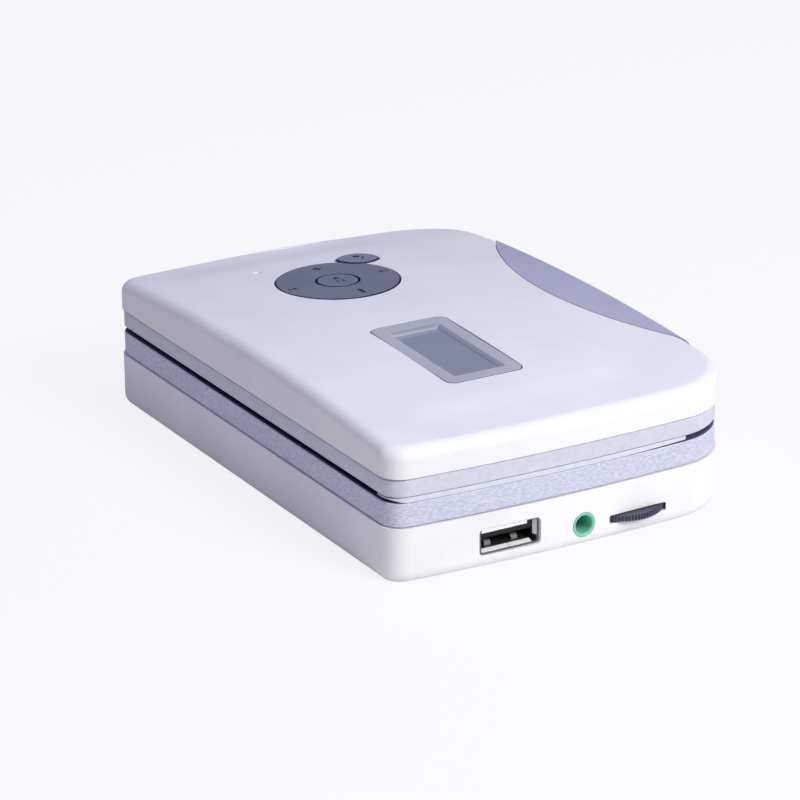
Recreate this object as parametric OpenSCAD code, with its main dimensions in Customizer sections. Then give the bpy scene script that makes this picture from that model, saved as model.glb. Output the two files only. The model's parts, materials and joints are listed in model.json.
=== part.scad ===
// Pocket cassette player with a hinged lid, a key dial, a viewing window and ports in its front end.
// Millimetres, +Z up. The origin is the middle of the plan on the resting face.
// The ports face -Y, the lid hinges along the -X side and its finger grip is on the +X side.

/* [Case] */
// Width across the two long sides
case_w = 80; // [78:0.5:92]
// Length through the middle of both bowed ends
case_l = 118.9; // [116:0.1:130]
// Height at the top of the crowned lid
case_h = 30; // [29.5:0.1:34]
// How far each end bows out past its corners
end_bow = 1.8; // [1:0.1:3]
// Corner radius along the hinge side
hinge_corner_r = 4.7; // [4:0.1:6]
// Corner radius along the grip side
grip_corner_r = 15; // [12:0.5:18]
// Fall of the lid's crown from its middle to its ends
crown_drop = 3; // [2:0.1:3.4]
// Radius of the lid's shoulder
shoulder_r = 2.6; // [2.2:0.1:3.2]
// Radius of the lower edge of the base
bottom_edge_r = 2.6; // [1.5:0.1:3.2]
// Wall of the base
wall_t = 2; // [1.6:0.1:2.4]
// Wall of the lid
lid_wall_t = 1.8; // [1.4:0.1:2]
// Floor of the base
floor_t = 1.4; // [1.2:0.1:1.5]

/* [Bands] */
// Height of the white base below the silver bands
base_h = 11.2; // [11:0.1:13]
// Height of the lower silver band
low_band_h = 5; // [4.5:0.1:6]
// Open gap between the two silver bands
gap_h = 1.2; // [1:0.1:1.6]
// Height of the upper silver band
top_band_h = 3.8; // [3:0.1:4.4]
// How far the bands stand back from the white shells
trim_inset = 0.35; // [0.2:0.05:0.5]
// Thickness of the bands
trim_t = 1; // [0.8:0.05:1.2]

/* [Deck] */
// Thickness of the deck plate
deck_t = 1.6; // [1.2:0.1:2]
// Height of the deck's rim above the plate
rim_h = 2.8; // [2:0.1:3.4]
// Thickness of the deck's rim
rim_t = 1.2; // [0.8:0.1:1.6]
// Radius of the case screws
screw_r = 0.9; // [0.7:0.05:1.1]
// Radius of the case screws' heads
screw_head_r = 1.9; // [1.6:0.1:2.2]

/* [Hinge] */
// Distance of the hinge axis from the hinge side's outer face
hinge_in = 3.2; // [3:0.1:3.6]
// Depth of the hinge axis below the top of the lower band
hinge_drop = 2.7; // [2.5:0.1:3]
// Radius of the hinge pins
hinge_pin_r = 0.8; // [0.6:0.05:0.9]
// Radius of the hinge arms' eyes
hinge_eye_r = 1.5; // [1.3:0.05:1.6]
// Width of a hinge arm
arm_w = 2; // [1.6:0.1:2.4]
// Thickness of a hinge arm
arm_t = 1.5; // [1.2:0.1:1.8]
// Reach of a hinge arm's neck from the axis
arm_reach = 5.5; // [5.2:0.1:6.5]
// Distance of a hinge arm's middle from the end of the case
arm_in = 7.05; // [6.8:0.05:7.4]

/* [Keys] */
// Dial centre across the lid
dial_x = -4; // [-8:0.5:0]
// Dial centre along the lid
dial_y = 26; // [22:0.5:27]
// Diameter of the key dial
dial_d = 25.7; // [24:0.1:28]
// Diameter of the key in the dial's middle
centre_d = 8.8; // [7:0.2:11]
// Length of the small oval key beside the dial
mode_w = 9.1; // [8.6:0.1:9.6]
// Breadth of the small oval key beside the dial
mode_l = 6.5; // [6:0.1:7]
// Turn of the small oval key
mode_turn = -24; // [-45:1:0]
// Offset of the small key from the dial's centre along X
mode_x = 10.95; // [10.7:0.05:11.2]
// Offset of the small key from the dial's centre along Y
mode_y = 11; // [10.8:0.05:11.2]
// Thickness of the key dial
dial_t = 1.8; // [1.6:0.05:2]
// How far the dial stands proud of the lid
dial_proud = 0.25; // [0.1:0.05:0.5]
// How far the small key stands proud of the lid
mode_proud = 0.5; // [0.4:0.1:1.2]
// Travel of the two push keys
key_travel = 0.35; // [0.2:0.05:0.4]
// Radius of the pilot light
led_r = 0.75; // [0.5:0.05:1]

/* [Window] */
// Window centre across the lid
win_x = -6; // [-8:0.5:0]
// Window centre along the lid
win_y = -20.9; // [-22:0.1:-18]
// Width of the window frame
win_w = 17.3; // [14:0.1:20]
// Length of the window frame
win_l = 32; // [28:0.5:34]
// Width of the window frame's border
win_border = 2.8; // [2:0.1:3.5]
// Width of the border at the window's far end
win_far = 3.8; // [2.8:0.1:4]
// Depth of the window pane below the frame's face
win_recess = 1; // [0.8:0.05:1.1]

/* [Grip] */
// Radius of the crescent's inner edge in plan
grip_r = 67.7; // [60:0.1:76]
// Depth of the crescent at its middle
grip_depth = 11.3; // [9:0.1:13]
// Middle of the crescent along the lid
grip_y = -2.1; // [-4:0.1:0]
// How far the crescent lies below the lid's surface
grip_sink = 0.1; // [0.05:0.05:0.4]
// Thickness of the crescent inlay
grip_t = 0.75; // [0.6:0.05:0.8]

/* [Ports] */
// Centre of the USB socket across the front
usb_x = -14.5; // [-16:0.5:-13]
// Outer width of the USB socket's metal shell
usb_w = 13.1; // [12.8:0.1:13.4]
// Outer height of the USB socket's metal shell
usb_h = 5.2; // [5:0.1:5.4]
// Depth of the USB socket
usb_l = 14; // [13:0.5:16]
// Centre of the audio jack across the front
jack_x = 1.95; // [1:0.05:2]
// Height of the audio jack's axis
jack_z = 4.3; // [4.2:0.1:5]
// Radius of the audio jack's bore
jack_bore_r = 1.8; // [1.75:0.05:1.85]
// Radius of the audio jack's nozzle
jack_r = 2.45; // [2.4:0.05:2.8]
// Width of the audio jack's body
jack_w = 5.6; // [5.5:0.1:5.8]
// Length of the audio jack's bore
jack_l = 13; // [12:0.5:15]
// Gap between the audio jack's body and the volume wheel
wheel_gap = 0.55; // [0.4:0.05:1.5]
// Radius of the volume wheel
wheel_r = 9; // [8:0.1:9.2]
// Thickness of the volume wheel
wheel_t = 1.3; // [1:0.1:1.5]
// How far the volume wheel stands out of the front
wheel_proud = 2; // [1.5:0.1:2.5]

/* [Cassette drive] */
// Distance of the capstan from the grip side's outer face
capstan_in = 17.4; // [17:0.1:18]
// Distance between the two reel spindles
hub_pitch = 42.5; // [42:0.1:43]
// Height of the reel spindles above the deck
hub_h = 9; // [7:0.5:10]
// Module of the gears
gear_m = 0.5; // [0.45:0.01:0.5]
// Teeth on the capstan's pinion
pinion_teeth = 16; // [14:2:18]
// Teeth on the idler gear, an odd number
idler_teeth = 27; // [25:2:27]
// Teeth on the take-up gear
take_up_teeth = 40; // [36:2:40]
// Radius of the capstan
capstan_r = 1; // [0.8:0.05:1.2]
// Radius of the flywheel
flywheel_r = 12; // [11:0.1:12.4]
// Radius of the motor
motor_r = 10.5; // [9:0.1:10.8]
// Gap between the motor and the end wall
motor_end_gap = 1.7; // [1.4:0.1:2.1]
// Radius of the pinch roller
roller_r = 4; // [3.6:0.1:4.2]
// Gap between the capstan and the pinch roller at rest
pinch_open = 3.2; // [3.1:0.1:3.4]
// Travel of the head plate towards the tape
head_travel = 3.5; // [3:0.1:3.6]

/* [Fits] */
// Radial clearance of a running shaft
run_fit = 0.06; // [0.03:0.01:0.09]
// Gap between pieces that are seated on each other's sides
seat_gap = 0.05; // [0.02:0.01:0.1]
// Gap round a moving key
key_gap = 0.3; // [0.2:0.05:0.4]

/* [Hidden] */
$fn = 48;
// Segments of a corner, of an end's bow and of a straight side
corner_n = 8;
bow_n = 10;
side_n = 10;
// A cut reaches this far past the face it opens
over = 1;

// Plan of the case: two long sides, two bowed ends, four rounded corners
half_w = case_w / 2;
half_l = case_l / 2;
bow_r = (half_w * half_w + end_bow * end_bow) / (2 * end_bow);
bow_y = half_l - bow_r;
hinge_cx = hinge_corner_r - half_w;
grip_cx = half_w - grip_corner_r;
hinge_cy = bow_y + sqrt(pow(bow_r - hinge_corner_r, 2) - hinge_cx * hinge_cx);
grip_cy = bow_y + sqrt(pow(bow_r - grip_corner_r, 2) - grip_cx * grip_cx);
hinge_a = asin(hinge_cx / (bow_r - hinge_corner_r));
grip_a = asin(grip_cx / (bow_r - grip_corner_r));

// Levels
z_low = base_h + low_band_h;
z_gap = z_low + gap_h;
z_lid = z_gap + top_band_h;
z_deck = base_h + deck_t;
deck_in = trim_inset + trim_t + 3 * seat_gap;
// The rim screens the gap between the bands, except near the hinge
screen_gap = 0.2;
screen_start = 5;

// Hinge axis and its lugs
hinge_x = hinge_in - half_w;
hinge_z = z_low - hinge_drop;
arm_y = half_l - arm_in;
lug_gap = 0.25;
lug_w = 1.6;
arm_seat_drop = 5.5;
arm_seat_z = case_h - arm_seat_drop;

// Keys, from the lid's surface down
dial_low = dial_proud - dial_t;
switch_gap = key_travel + 0.05;
push_low = dial_low + 0.1;
board_z = dial_low - 0.65;
lid_board_t = 0.6;
switch_t = push_low - board_z - switch_gap;
tilt_web_t = 0.3;
tilt_web_r = 5.4;
tilt_web_w = 1;
led_off = [-10.95, 14.95];
lid_board_min = [-14, -15];
lid_board_max = [17, 18];
pillar_r = 1.2;
pillar_in = 1.5;

// Liner that closes the lid from below
liner_t = 0.7;
liner_gap = 0.23;
key_low = crown(dial_y) + lid_board_max.y * tan(crown_slope(dial_y)) + board_z - lid_board_t;
liner_z = key_low - liner_gap - liner_t;
liner_end_in = 8.45;
liner_half_l = half_l - liner_end_in;
lid_screw_r = 0.8;
lid_screw_head_r = 1.7;
lid_screw_head_t = 0.7;
lid_screw_l = 2.3;
lid_screw_side_in = 9;
lid_screw_end_in = 15.45;
lid_screw_at = [half_w - lid_screw_side_in, half_l - lid_screw_end_in];
liner_boss_r = 2.2;

// Window
bezel_t = 0.9;
pane_t = 0.7;
bezel_proud = 0.1;
bezel_corner_r = 2;
pane_lap = 1.9;

// Grip
grip_lift = 3.4;
grip_low = z_lid + grip_lift;
grip_cx_plan = half_w - grip_depth + grip_r;

// Main board and what stands on it
board_t = 1;
pad_h = 0.3;
screw_in = 6;
boss_r = 2.6;
board_boss_gap = 3.4;
board_min_x = screw_in - half_w + boss_r + board_boss_gap;
board_corner_gap = 3;
board_w = grip_cx - board_corner_gap - board_min_x;
board_l = 46;
board_top = floor_t + pad_h + board_t;
board_gap = 0.4;
board_front = front_y(board_min_x) + wall_t + board_gap;
chip_at = [[-3, 20], [11, 24], [-20, 34], [2, 38]];
chip_w = [10, 6, 7, 5];
chip_t = [1.4, 1.2, 1.2, 1];
cap_x = [-23, -16, 17];
cap_y = 27;
cap_r = 2.5;
cap_h = 5;
usb_skin = 0.35;
usb_back = 0.6;
usb_tongue_t = 1.9;
usb_front = front_y(usb_x) + usb_back;
jack_proud = 0.15;
jack_front = front_y(jack_x) - jack_proud;
jack_half_h = 2.5;
wheel_x = jack_x + jack_w / 2 + wheel_gap + wheel_r;
wheel_y = front_y(wheel_x) + wheel_r - wheel_proud;
pot_t = 0.4;
pot_r = wheel_r - wheel_proud - wall_t - 0.2;
pot_post_r = 1.5;
wheel_z = board_top + pot_t + 0.2;
slot_gap = 0.5;
knurls = 60;
knurl_depth = 0.25;

// Cassette drive
hub_y = hub_pitch / 2;
take_up_r = gear_m * take_up_teeth / 2;
idler_r = gear_m * idler_teeth / 2;
pinion_r = gear_m * pinion_teeth / 2;
capstan_x = half_w - capstan_in;
idler_x = capstan_x - pinion_r - idler_r;
hub_x = idler_x - idler_r - take_up_r;
motor_off = 1.5;
motor_x = capstan_x + motor_off;
motor_y = half_l - wall_t - motor_end_gap - motor_r;
gear_t = 2;
gear_backlash = 0.1;
spindle_r = 1.5;
idler_pin_r = 1;
flywheel_z = 3.2;
flywheel_t = 2.8;
gear_lift = 1.4;
gear_z = flywheel_z + flywheel_t + gear_lift;
groove_d = 0.6;
groove_z = 3.5;
groove_h = 1.6;
pulley_r = 2.6;
pulley_t = 2.2;
motor_shaft_r = 0.75;
motor_gap = 0.2;
motor_t = base_h - flywheel_z - flywheel_t - motor_gap;
belt_t = 0.8;
belt_h = 1.2;
bush_r = 2.2;
bush_gap = 0.4;
bush_low = gear_z + gear_t + bush_gap;
bush_flange_t = 0.5;
thrust_top = 2.6;
roller_x = capstan_x + capstan_r + roller_r + pinch_open;
pivot_off = 11.9;
pivot_in = 19.45;
pivot_x = capstan_x + pivot_off;
pivot_y = half_l - pivot_in;
pivot_r = 1.5;
roller_pin_r = 0.8;
roller_h = 7.5;
arm_plate_t = 0.9;
arm_plate_w = 3.6;
arm_end_r = 2.2;
arm_eye_t = 1.2;
roller_pin_over = 0.4;
plate_lift = 0.15;
plate_t = 0.8;
plate_off = 5.2;
plate_x = capstan_x + plate_off;
plate_w = 9;
plate_half_l = 15;
guide_r = 1.2;
guide_off = 1.6;
guide_x = plate_x + guide_r + guide_off;
guide_y = 12;
head_off = 2.8;
head_x = plate_x + head_off;
head_w = 6;
head_half_l = 5.5;
head_clear = 2.35;
head_h = liner_z - head_clear - z_deck - plate_lift - plate_t;
head_nose_r = 9;

// Case screws and their bosses
screw_end_in = [11.45, 13.45, 15.45];
screw_mid_y = 3;
screw_at = [
    [screw_in - half_w, half_l - screw_end_in[0]],
    [screw_in - half_w, screw_end_in[1] - half_l],
    [half_w - screw_in, screw_end_in[2] - half_l],
    [half_w - screw_in, screw_mid_y]];
boss_split = base_h - 2.2;
screw_seat = 2;
screw_head_t = 1.3;
screw_bite = 0.7;

// Latch
latch_y = -32;
latch_w = 8;
latch_in = 4.2;
latch_x = half_w - latch_in;
latch_t = 1.2;
latch_gap = 0.4;
leaf_t = 0.3;
leaf_h = 4;
leaf_foot = 4;

// Leaf springs that steady the cassette
steady_at = [-16, 36];
steady_l = 16;
steady_sag = 1.4;
steady_w = 5;
steady_t = 0.25;

function arc(c, r, a0, a1, n, from = 0, to = 0) =
    [for (i = [from : n - to]) let (a = a0 + (a1 - a0) * i / n) c + r * [cos(a), sin(a)]];

function side(x, y0, y1) = [for (i = [1 : side_n - 1]) [x, y0 + (y1 - y0) * i / side_n]];

// Plan outline set in by d, counter-clockwise from the grip side
function outline(d) = concat(
    arc([grip_cx, grip_cy], grip_corner_r - d, 0, 90 - grip_a, corner_n),
    arc([0, bow_y], bow_r - d, 90 - grip_a, 90 - hinge_a, bow_n, 1, 1),
    arc([hinge_cx, hinge_cy], hinge_corner_r - d, 90 - hinge_a, 180, corner_n),
    side(d - half_w, hinge_cy, -hinge_cy),
    arc([hinge_cx, -hinge_cy], hinge_corner_r - d, 180, 270 + hinge_a, corner_n),
    arc([0, -bow_y], bow_r - d, 270 + hinge_a, 270 + grip_a, bow_n, 1, 1),
    arc([grip_cx, -grip_cy], grip_corner_r - d, 270 + grip_a, 360, corner_n),
    side(half_w - d, -grip_cy, grip_cy));

// Front face at x
function front_y(x) = -bow_y - sqrt(bow_r * bow_r - x * x);

// Height and slope of the lid's crown at y
function crown(y) = case_h - crown_drop * pow(y / half_l, 2);
function crown_slope(y) = atan(-2 * crown_drop * y / (half_l * half_l));

// Points of a gear with straight-flanked teeth, one tooth centred on the angle turn
function gear_points(teeth, turn) = let (
    r = gear_m * teeth / 2,
    tip = 0.8 * gear_m,
    root = 1.1 * gear_m,
    half = PI * gear_m / 4 - gear_backlash / 2,
    flank = tan(20))
    [for (i = [0 : teeth - 1]) for (k = [0 : 3]) let (
        at_tip = k == 1 || k == 2,
        rr = at_tip ? r + tip : r - root,
        hw = at_tip ? half - tip * flank : half + root * flank,
        a = turn + 360 * i / teeth + (k < 2 ? -1 : 1) * asin(hw / rr))
        rr * [cos(a), sin(a)]];

module prism(d, z0, z1) {
    translate([0, 0, z0]) linear_extrude(z1 - z0) polygon(outline(d));
}

module band(d0, d1, z0, z1) {
    translate([0, 0, z0]) linear_extrude(z1 - z0) difference() {
        polygon(outline(d0));
        polygon(outline(d1));
    }
}

// Closed stack of plan rings, lowest first
module ring_stack(rings) {
    n = len(rings[0]);
    last = len(rings) - 1;
    polyhedron(
        points = [for (ring = rings) for (p = ring) p],
        faces = concat(
            [[for (i = [0 : n - 1]) i]],
            [for (k = [0 : last - 1]) for (i = [0 : n - 1])
                [k * n + i, (k + 1) * n + i, (k + 1) * n + (i + 1) % n, k * n + (i + 1) % n]],
            [[for (i = [n - 1 : -1 : 0]) last * n + i]]));
}

// Crowned and rounded form of the lid, set in by d all over, from z0 up
module lid_form(d, z0, steps = 6) {
    r = shoulder_r - d;
    turns = [for (k = [0 : steps]) 90 * k / steps];
    hull() ring_stack(concat(
        [[for (p = outline(d)) [p.x, p.y, z0]]],
        [for (t = turns) [for (p = outline(d + r * (1 - cos(t))))
            [p.x, p.y, crown(p.y) - d - r * (1 - sin(t))]]]));
}

// Form of the base with its rounded lower edge, cut flat where it rests
module base_form(steps = 5) {
    flat_cut = 0.3;
    turns = [for (k = [0 : steps]) 90 - 90 * k / steps];
    difference() {
        hull() ring_stack(concat(
            [for (t = turns) [for (p = outline(bottom_edge_r * (1 - cos(t))))
                [p.x, p.y, bottom_edge_r * (1 - sin(t)) - flat_cut]]],
            [[for (p = outline(0)) [p.x, p.y, base_h]]]));
        translate([-case_w, -case_l, -over]) cube([2 * case_w, 2 * case_l, over]);
    }
}

// Places a piece on the lid's surface, turned to the slope there
module on_crown(x, y) {
    translate([x, y, crown(y)]) rotate([crown_slope(y), 0, 0]) children();
}

module rounded_rect(w, l, r) {
    square([w - 2 * r, l], center = true);
    square([w, l - 2 * r], center = true);
    for (sx = [-1, 1]) for (sy = [-1, 1])
        translate([sx * (w / 2 - r), sy * (l / 2 - r)]) circle(r);
}

// Oval where two equal discs overlap
module oval(w, l) {
    r = (w * w + l * l) / (4 * l);
    intersection_for(s = [-1, 1]) translate([0, s * (r - l / 2)]) circle(r);
}

// Outline of the small key in the dial's frame, with a margin round it
module mode_outline(margin) {
    translate([mode_x, mode_y]) rotate(mode_turn) oval(mode_w + 2 * margin, mode_l + 2 * margin);
}

module post(r, z0, z1) {
    translate([0, 0, z0]) cylinder(r = r, h = z1 - z0);
}

module along_y(x, z, y0, y1, r) {
    translate([x, y0, z]) rotate([-90, 0, 0]) cylinder(r = r, h = y1 - y0);
}

// Base

module base_shell() {
    color("white") difference() {
        union() {
            difference() {
                base_form();
                prism(wall_t, floor_t, base_h + over);
            }
            intersection() {
                prism(wall_t / 2, floor_t / 2, base_h);
                union() {
                    for (p = screw_at) translate(p) post(boss_r, floor_t / 2, boss_split);
                    for (x = [board_min_x + 3, board_min_x + board_w - 3])
                        for (y = [board_front + 17, board_front + board_l - 3])
                            translate([x, y, 0]) post(2, floor_t / 2, floor_t + pad_h);
                    translate([capstan_x, hub_y, 0]) post(2.5, floor_t / 2, thrust_top);
                }
            }
        }
        for (p = screw_at) translate(p) {
            post(screw_head_r + 0.3, -over, screw_seat);
            post(screw_r + 0.2, -over, base_h);
        }
        usb_opening();
        along_y(jack_x, jack_z, jack_front - over, jack_front + 2 * wall_t, jack_r + seat_gap);
        translate([wheel_x, wheel_y, 0])
            post(wheel_r + slot_gap, wheel_z - 0.2, wheel_z + wheel_t + 0.2);
    }
}

module usb_opening() {
    gap = 0.25;
    translate([usb_x - usb_w / 2 - gap, usb_front - 2 * wall_t, board_top - gap])
        cube([usb_w + 2 * gap, 4 * wall_t, usb_h + 2 * gap]);
}

module base_trim() {
    color("lavender") band(trim_inset, trim_inset + trim_t, base_h, z_low);
}

module deck() {
    color("dimgray") difference() {
        union() {
            prism(deck_in, base_h, z_deck);
            band(deck_in, deck_in + rim_t, base_h, z_deck + rim_h);
            intersection() {
                band(deck_in, deck_in + rim_t, base_h, z_gap - screen_gap);
                translate([hinge_x + screen_start, -case_l, 0]) cube([2 * case_w, 2 * case_l, case_h]);
            }
            intersection() {
                prism(deck_in, base_h, z_low);
                for (s = [-1, 1]) hinge_lugs(s);
            }
            for (p = screw_at) translate(p) post(boss_r - 0.2, boss_split, z_deck);
            for (s = [-1, 1]) translate([guide_x, s * guide_y, 0])
                post(guide_r, base_h, z_deck + plate_lift + plate_t + 0.6);
            translate([pivot_x, pivot_y, 0]) post(pivot_r, base_h, z_deck + plate_lift + arm_plate_t + 0.6);
        }
        for (s = [-1, 1]) hinge_pocket(s);
        for (s = [-1, 1]) along_y(hinge_x, hinge_z, s * arm_y - 5, s * arm_y + 5, hinge_pin_r + seat_gap / 2);
        for (p = screw_at) translate(p) post(screw_r + seat_gap / 2, boss_split - over, z_deck - 0.5);
        for (s = [-1, 1]) translate([hub_x, s * hub_y, 0]) post(spindle_r + run_fit, base_h - over, z_deck + over);
        translate([capstan_x, hub_y, 0]) post(bush_r + seat_gap / 2, base_h - over, z_deck + over);
    }
}

// The two lugs of one hinge, either side of its arm
module hinge_lugs(s) {
    inner = arm_w / 2 + lug_gap;
    for (side = [-1, 1]) {
        y0 = s * arm_y + (side > 0 ? inner : -inner - lug_w);
        along_y(hinge_x, hinge_z, y0, y0 + lug_w, hinge_eye_r);
        translate([hinge_x - hinge_eye_r, y0, base_h])
            cube([2 * hinge_eye_r, lug_w, hinge_z - base_h]);
    }
}

// Room for one hinge arm to lie in and swing out of
module hinge_pocket(s) {
    w = arm_w + 2 * lug_gap;
    low = hinge_z - hinge_eye_r - lug_gap;
    translate([hinge_x - 2 * hinge_eye_r, s * arm_y - w / 2, low])
        cube([2 * hinge_eye_r + arm_reach + 0.4, w, z_low]);
}

module hinge_pins() {
    color("silver") for (s = [-1, 1])
        along_y(hinge_x, hinge_z, s * arm_y - arm_w / 2 - lug_w, s * arm_y + arm_w / 2 + lug_w, hinge_pin_r);
}

module case_screws() {
    color("silver") for (p = screw_at) translate(p) {
        post(screw_head_r, screw_seat - screw_head_t, screw_seat);
        post(screw_r, screw_seat - screw_head_t / 2, z_deck - screw_bite);
    }
}

module latch_spring() {
    color("silver") translate([latch_x - latch_gap - leaf_t, latch_y - latch_w / 2 + 1, z_deck]) {
        cube([leaf_t, latch_w - 2, leaf_h]);
        translate([-leaf_foot, 0, 0]) cube([leaf_foot + leaf_t, latch_w - 2, leaf_t]);
    }
}

module main_board() {
    color("darkgreen") difference() {
        translate([board_min_x, board_front, board_top - board_t]) cube([board_w, board_l, board_t]);
        translate([jack_x - jack_w / 2 - 0.2, board_front - over, 0])
            cube([jack_w + 0.4, jack_front + jack_l + 1.2 - board_front + over, case_h]);
    }
}

module board_chips() {
    color("black") for (k = [0 : len(chip_at) - 1])
        translate([chip_at[k].x - chip_w[k] / 2, board_front + chip_at[k].y, board_top])
            cube([chip_w[k], chip_w[k], chip_t[k]]);
}

module capacitors() {
    color("navy") for (x = cap_x) translate([x, board_front + cap_y, 0])
        post(cap_r, board_top, board_top + cap_h);
}

module usb_shell() {
    color("silver") translate([usb_x - usb_w / 2, usb_front, board_top]) difference() {
        cube([usb_w, usb_l, usb_h]);
        translate([usb_skin, -over, usb_skin])
            cube([usb_w - 2 * usb_skin, usb_l + 2 * over, usb_h - 2 * usb_skin]);
    }
}

module usb_insulator() {
    gap = seat_gap + usb_skin;
    rear = 4;
    color("black") translate([usb_x - usb_w / 2 + gap, usb_front, board_top + gap]) {
        translate([0, usb_l - rear, 0]) cube([usb_w - 2 * gap, rear, usb_h - 2 * gap]);
        translate([0.6, 1, usb_h - 2 * gap - usb_tongue_t])
            cube([usb_w - 2 * gap - 1.2, usb_l - 1 - rear / 2, usb_tongue_t - 0.2]);
    }
}

module usb_contacts() {
    low = board_top + usb_h - seat_gap - usb_skin - usb_tongue_t;
    color("gold") for (k = [-1.5 : 1 : 1.5])
        translate([usb_x + k * 2.3 - 0.5, usb_front + 1.6, low - 0.2]) cube([1, 7, 0.2]);
}

module audio_jack() {
    color("mediumseagreen") difference() {
        union() {
            along_y(jack_x, jack_z, jack_front, jack_front + wall_t + 1, jack_r);
            translate([jack_x - jack_w / 2, jack_front + wall_t + 0.5, jack_z - jack_half_h])
                cube([jack_w, jack_l - wall_t + 0.5, 2 * jack_half_h]);
        }
        along_y(jack_x, jack_z, jack_front - over, jack_front + jack_l, jack_bore_r);
    }
}

module jack_contacts() {
    color("silver") for (s = [-1, 1]) for (k = [4, 8])
        translate([jack_x + s * (jack_w / 2 + 0.5) - 0.5, jack_front + k, board_top]) cube([1, 1.2, 0.3]);
}

module volume_pot() {
    color("saddlebrown") translate([wheel_x, wheel_y, 0]) {
        post(pot_r, board_top, board_top + pot_t);
        post(pot_post_r, board_top, wheel_z + wheel_t + 0.5);
        post(pot_post_r + 0.7, wheel_z + wheel_t + 0.1, wheel_z + wheel_t + 0.5);
    }
}

module volume_wheel() {
    color("dimgray") translate([wheel_x, wheel_y, wheel_z]) linear_extrude(wheel_t) difference() {
        polygon([for (i = [0 : 2 * knurls - 1])
            (wheel_r - (i % 2) * knurl_depth) * [cos(180 * i / knurls), sin(180 * i / knurls)]]);
        circle(pot_post_r + run_fit);
    }
}

// Cassette drive

module motor() {
    color("silver") translate([motor_x, motor_y, 0]) difference() {
        post(motor_r, base_h - motor_t, base_h);
        post(motor_shaft_r + run_fit, 0, base_h - motor_t / 2);
    }
}

module motor_pulley() {
    color("goldenrod") translate([motor_x, motor_y, 0]) {
        post(motor_shaft_r, groove_z - 0.5, base_h - motor_t / 2 - 0.2);
        difference() {
            post(pulley_r, groove_z - 0.3, groove_z - 0.3 + pulley_t);
            groove(pulley_r);
        }
    }
}

// Belt groove round a wheel
module groove(r) {
    difference() {
        post(r + over, groove_z, groove_z + groove_h);
        post(r - groove_d, groove_z - over, groove_z + groove_h + over);
    }
}

module flywheel() {
    color("darkgray") translate([capstan_x, hub_y, 0]) difference() {
        post(flywheel_r, flywheel_z, flywheel_z + flywheel_t);
        groove(flywheel_r);
        post(capstan_r + seat_gap / 2, 0, base_h);
    }
}

module capstan() {
    color("silver") translate([capstan_x, hub_y, 0]) post(capstan_r, thrust_top + seat_gap, z_deck + hub_h);
}

module drive_pinion() {
    color("ivory") translate([capstan_x, hub_y, 0]) difference() {
        union() {
            translate([0, 0, gear_z]) linear_extrude(gear_t) polygon(gear_points(pinion_teeth, 180 / pinion_teeth));
            post(pinion_r - 2 * gear_m, flywheel_z + flywheel_t, gear_z + gear_t);
        }
        post(capstan_r + seat_gap / 2, 0, base_h);
    }
}

module capstan_bush() {
    color("goldenrod") translate([capstan_x, hub_y, 0]) difference() {
        union() {
            post(bush_r, bush_low, z_deck + bush_flange_t);
            post(bush_r + 0.4, z_deck, z_deck + bush_flange_t);
        }
        post(capstan_r + run_fit, 0, case_h);
    }
}

module drive_belt() {
    color("black") translate([0, 0, groove_z + (groove_h - belt_h) / 2]) linear_extrude(belt_h) difference() {
        belt_loop(seat_gap + belt_t);
        belt_loop(seat_gap);
    }
}

module belt_loop(grow) {
    hull() {
        translate([capstan_x, hub_y]) circle(flywheel_r - groove_d + grow);
        translate([motor_x, motor_y]) circle(pulley_r - groove_d + grow, $fn = 32);
    }
}

module idler_gear() {
    color("ivory") translate([idler_x, hub_y, gear_z]) linear_extrude(gear_t) difference() {
        polygon(gear_points(idler_teeth, 0));
        circle(idler_pin_r + run_fit);
    }
}

module idler_pin() {
    color("silver") translate([idler_x, hub_y, 0]) {
        post(idler_pin_r, gear_z - 0.6, base_h);
        post(idler_pin_r + 0.9, gear_z - 0.7, gear_z - 0.1);
        post(idler_pin_r + 0.9, gear_z + gear_t + 0.1, base_h);
    }
}

// Reel spindle with its table, splined hub and shaft
module reel_spindle(low) {
    table_r = 7;
    table_t = 1;
    hub_r = 3.2;
    spline_r = 4.3;
    spline_w = 1;
    nose_h = 1.5;
    table_z = z_deck + plate_lift;
    sink = table_t / 2;
    post(spindle_r, low, table_z + sink);
    post(table_r, table_z, table_z + table_t);
    translate([0, 0, table_z + sink]) linear_extrude(hub_h - nose_h - plate_lift - sink) {
        circle(hub_r);
        for (k = [0 : 2]) rotate(60 * k) square([2 * spline_r, spline_w], center = true);
    }
    post(hub_r - 0.4, table_z + sink, z_deck + hub_h);
}

module take_up_spindle() {
    color("white") translate([hub_x, hub_y, 0]) reel_spindle(gear_z - 0.2);
}

module take_up_gear() {
    color("ivory") translate([hub_x, hub_y, gear_z]) linear_extrude(gear_t) difference() {
        polygon(gear_points(take_up_teeth, 0));
        circle(spindle_r + seat_gap / 2);
    }
}

module supply_spindle() {
    color("white") translate([hub_x, -hub_y, 0]) reel_spindle(base_h - 1.6);
}

module supply_clip() {
    color("silver") translate([hub_x, -hub_y, 0]) difference() {
        post(spindle_r + 1.4, base_h - 0.9, base_h - 0.2);
        post(spindle_r + seat_gap / 2, 0, case_h);
    }
}

module head_plate() {
    z = z_deck + plate_lift;
    room = guide_r + 0.15;
    color("lightgray") difference() {
        translate([plate_x, -plate_half_l, z]) cube([plate_w, 2 * plate_half_l, plate_t]);
        for (s = [-1, 1]) {
            for (x = [guide_x, guide_x + head_travel]) translate([x, s * guide_y, 0]) post(room, z - over, case_h);
            translate([guide_x, s * guide_y - room, z - over]) cube([head_travel, 2 * room, plate_t + 2 * over]);
        }
    }
}

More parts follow.
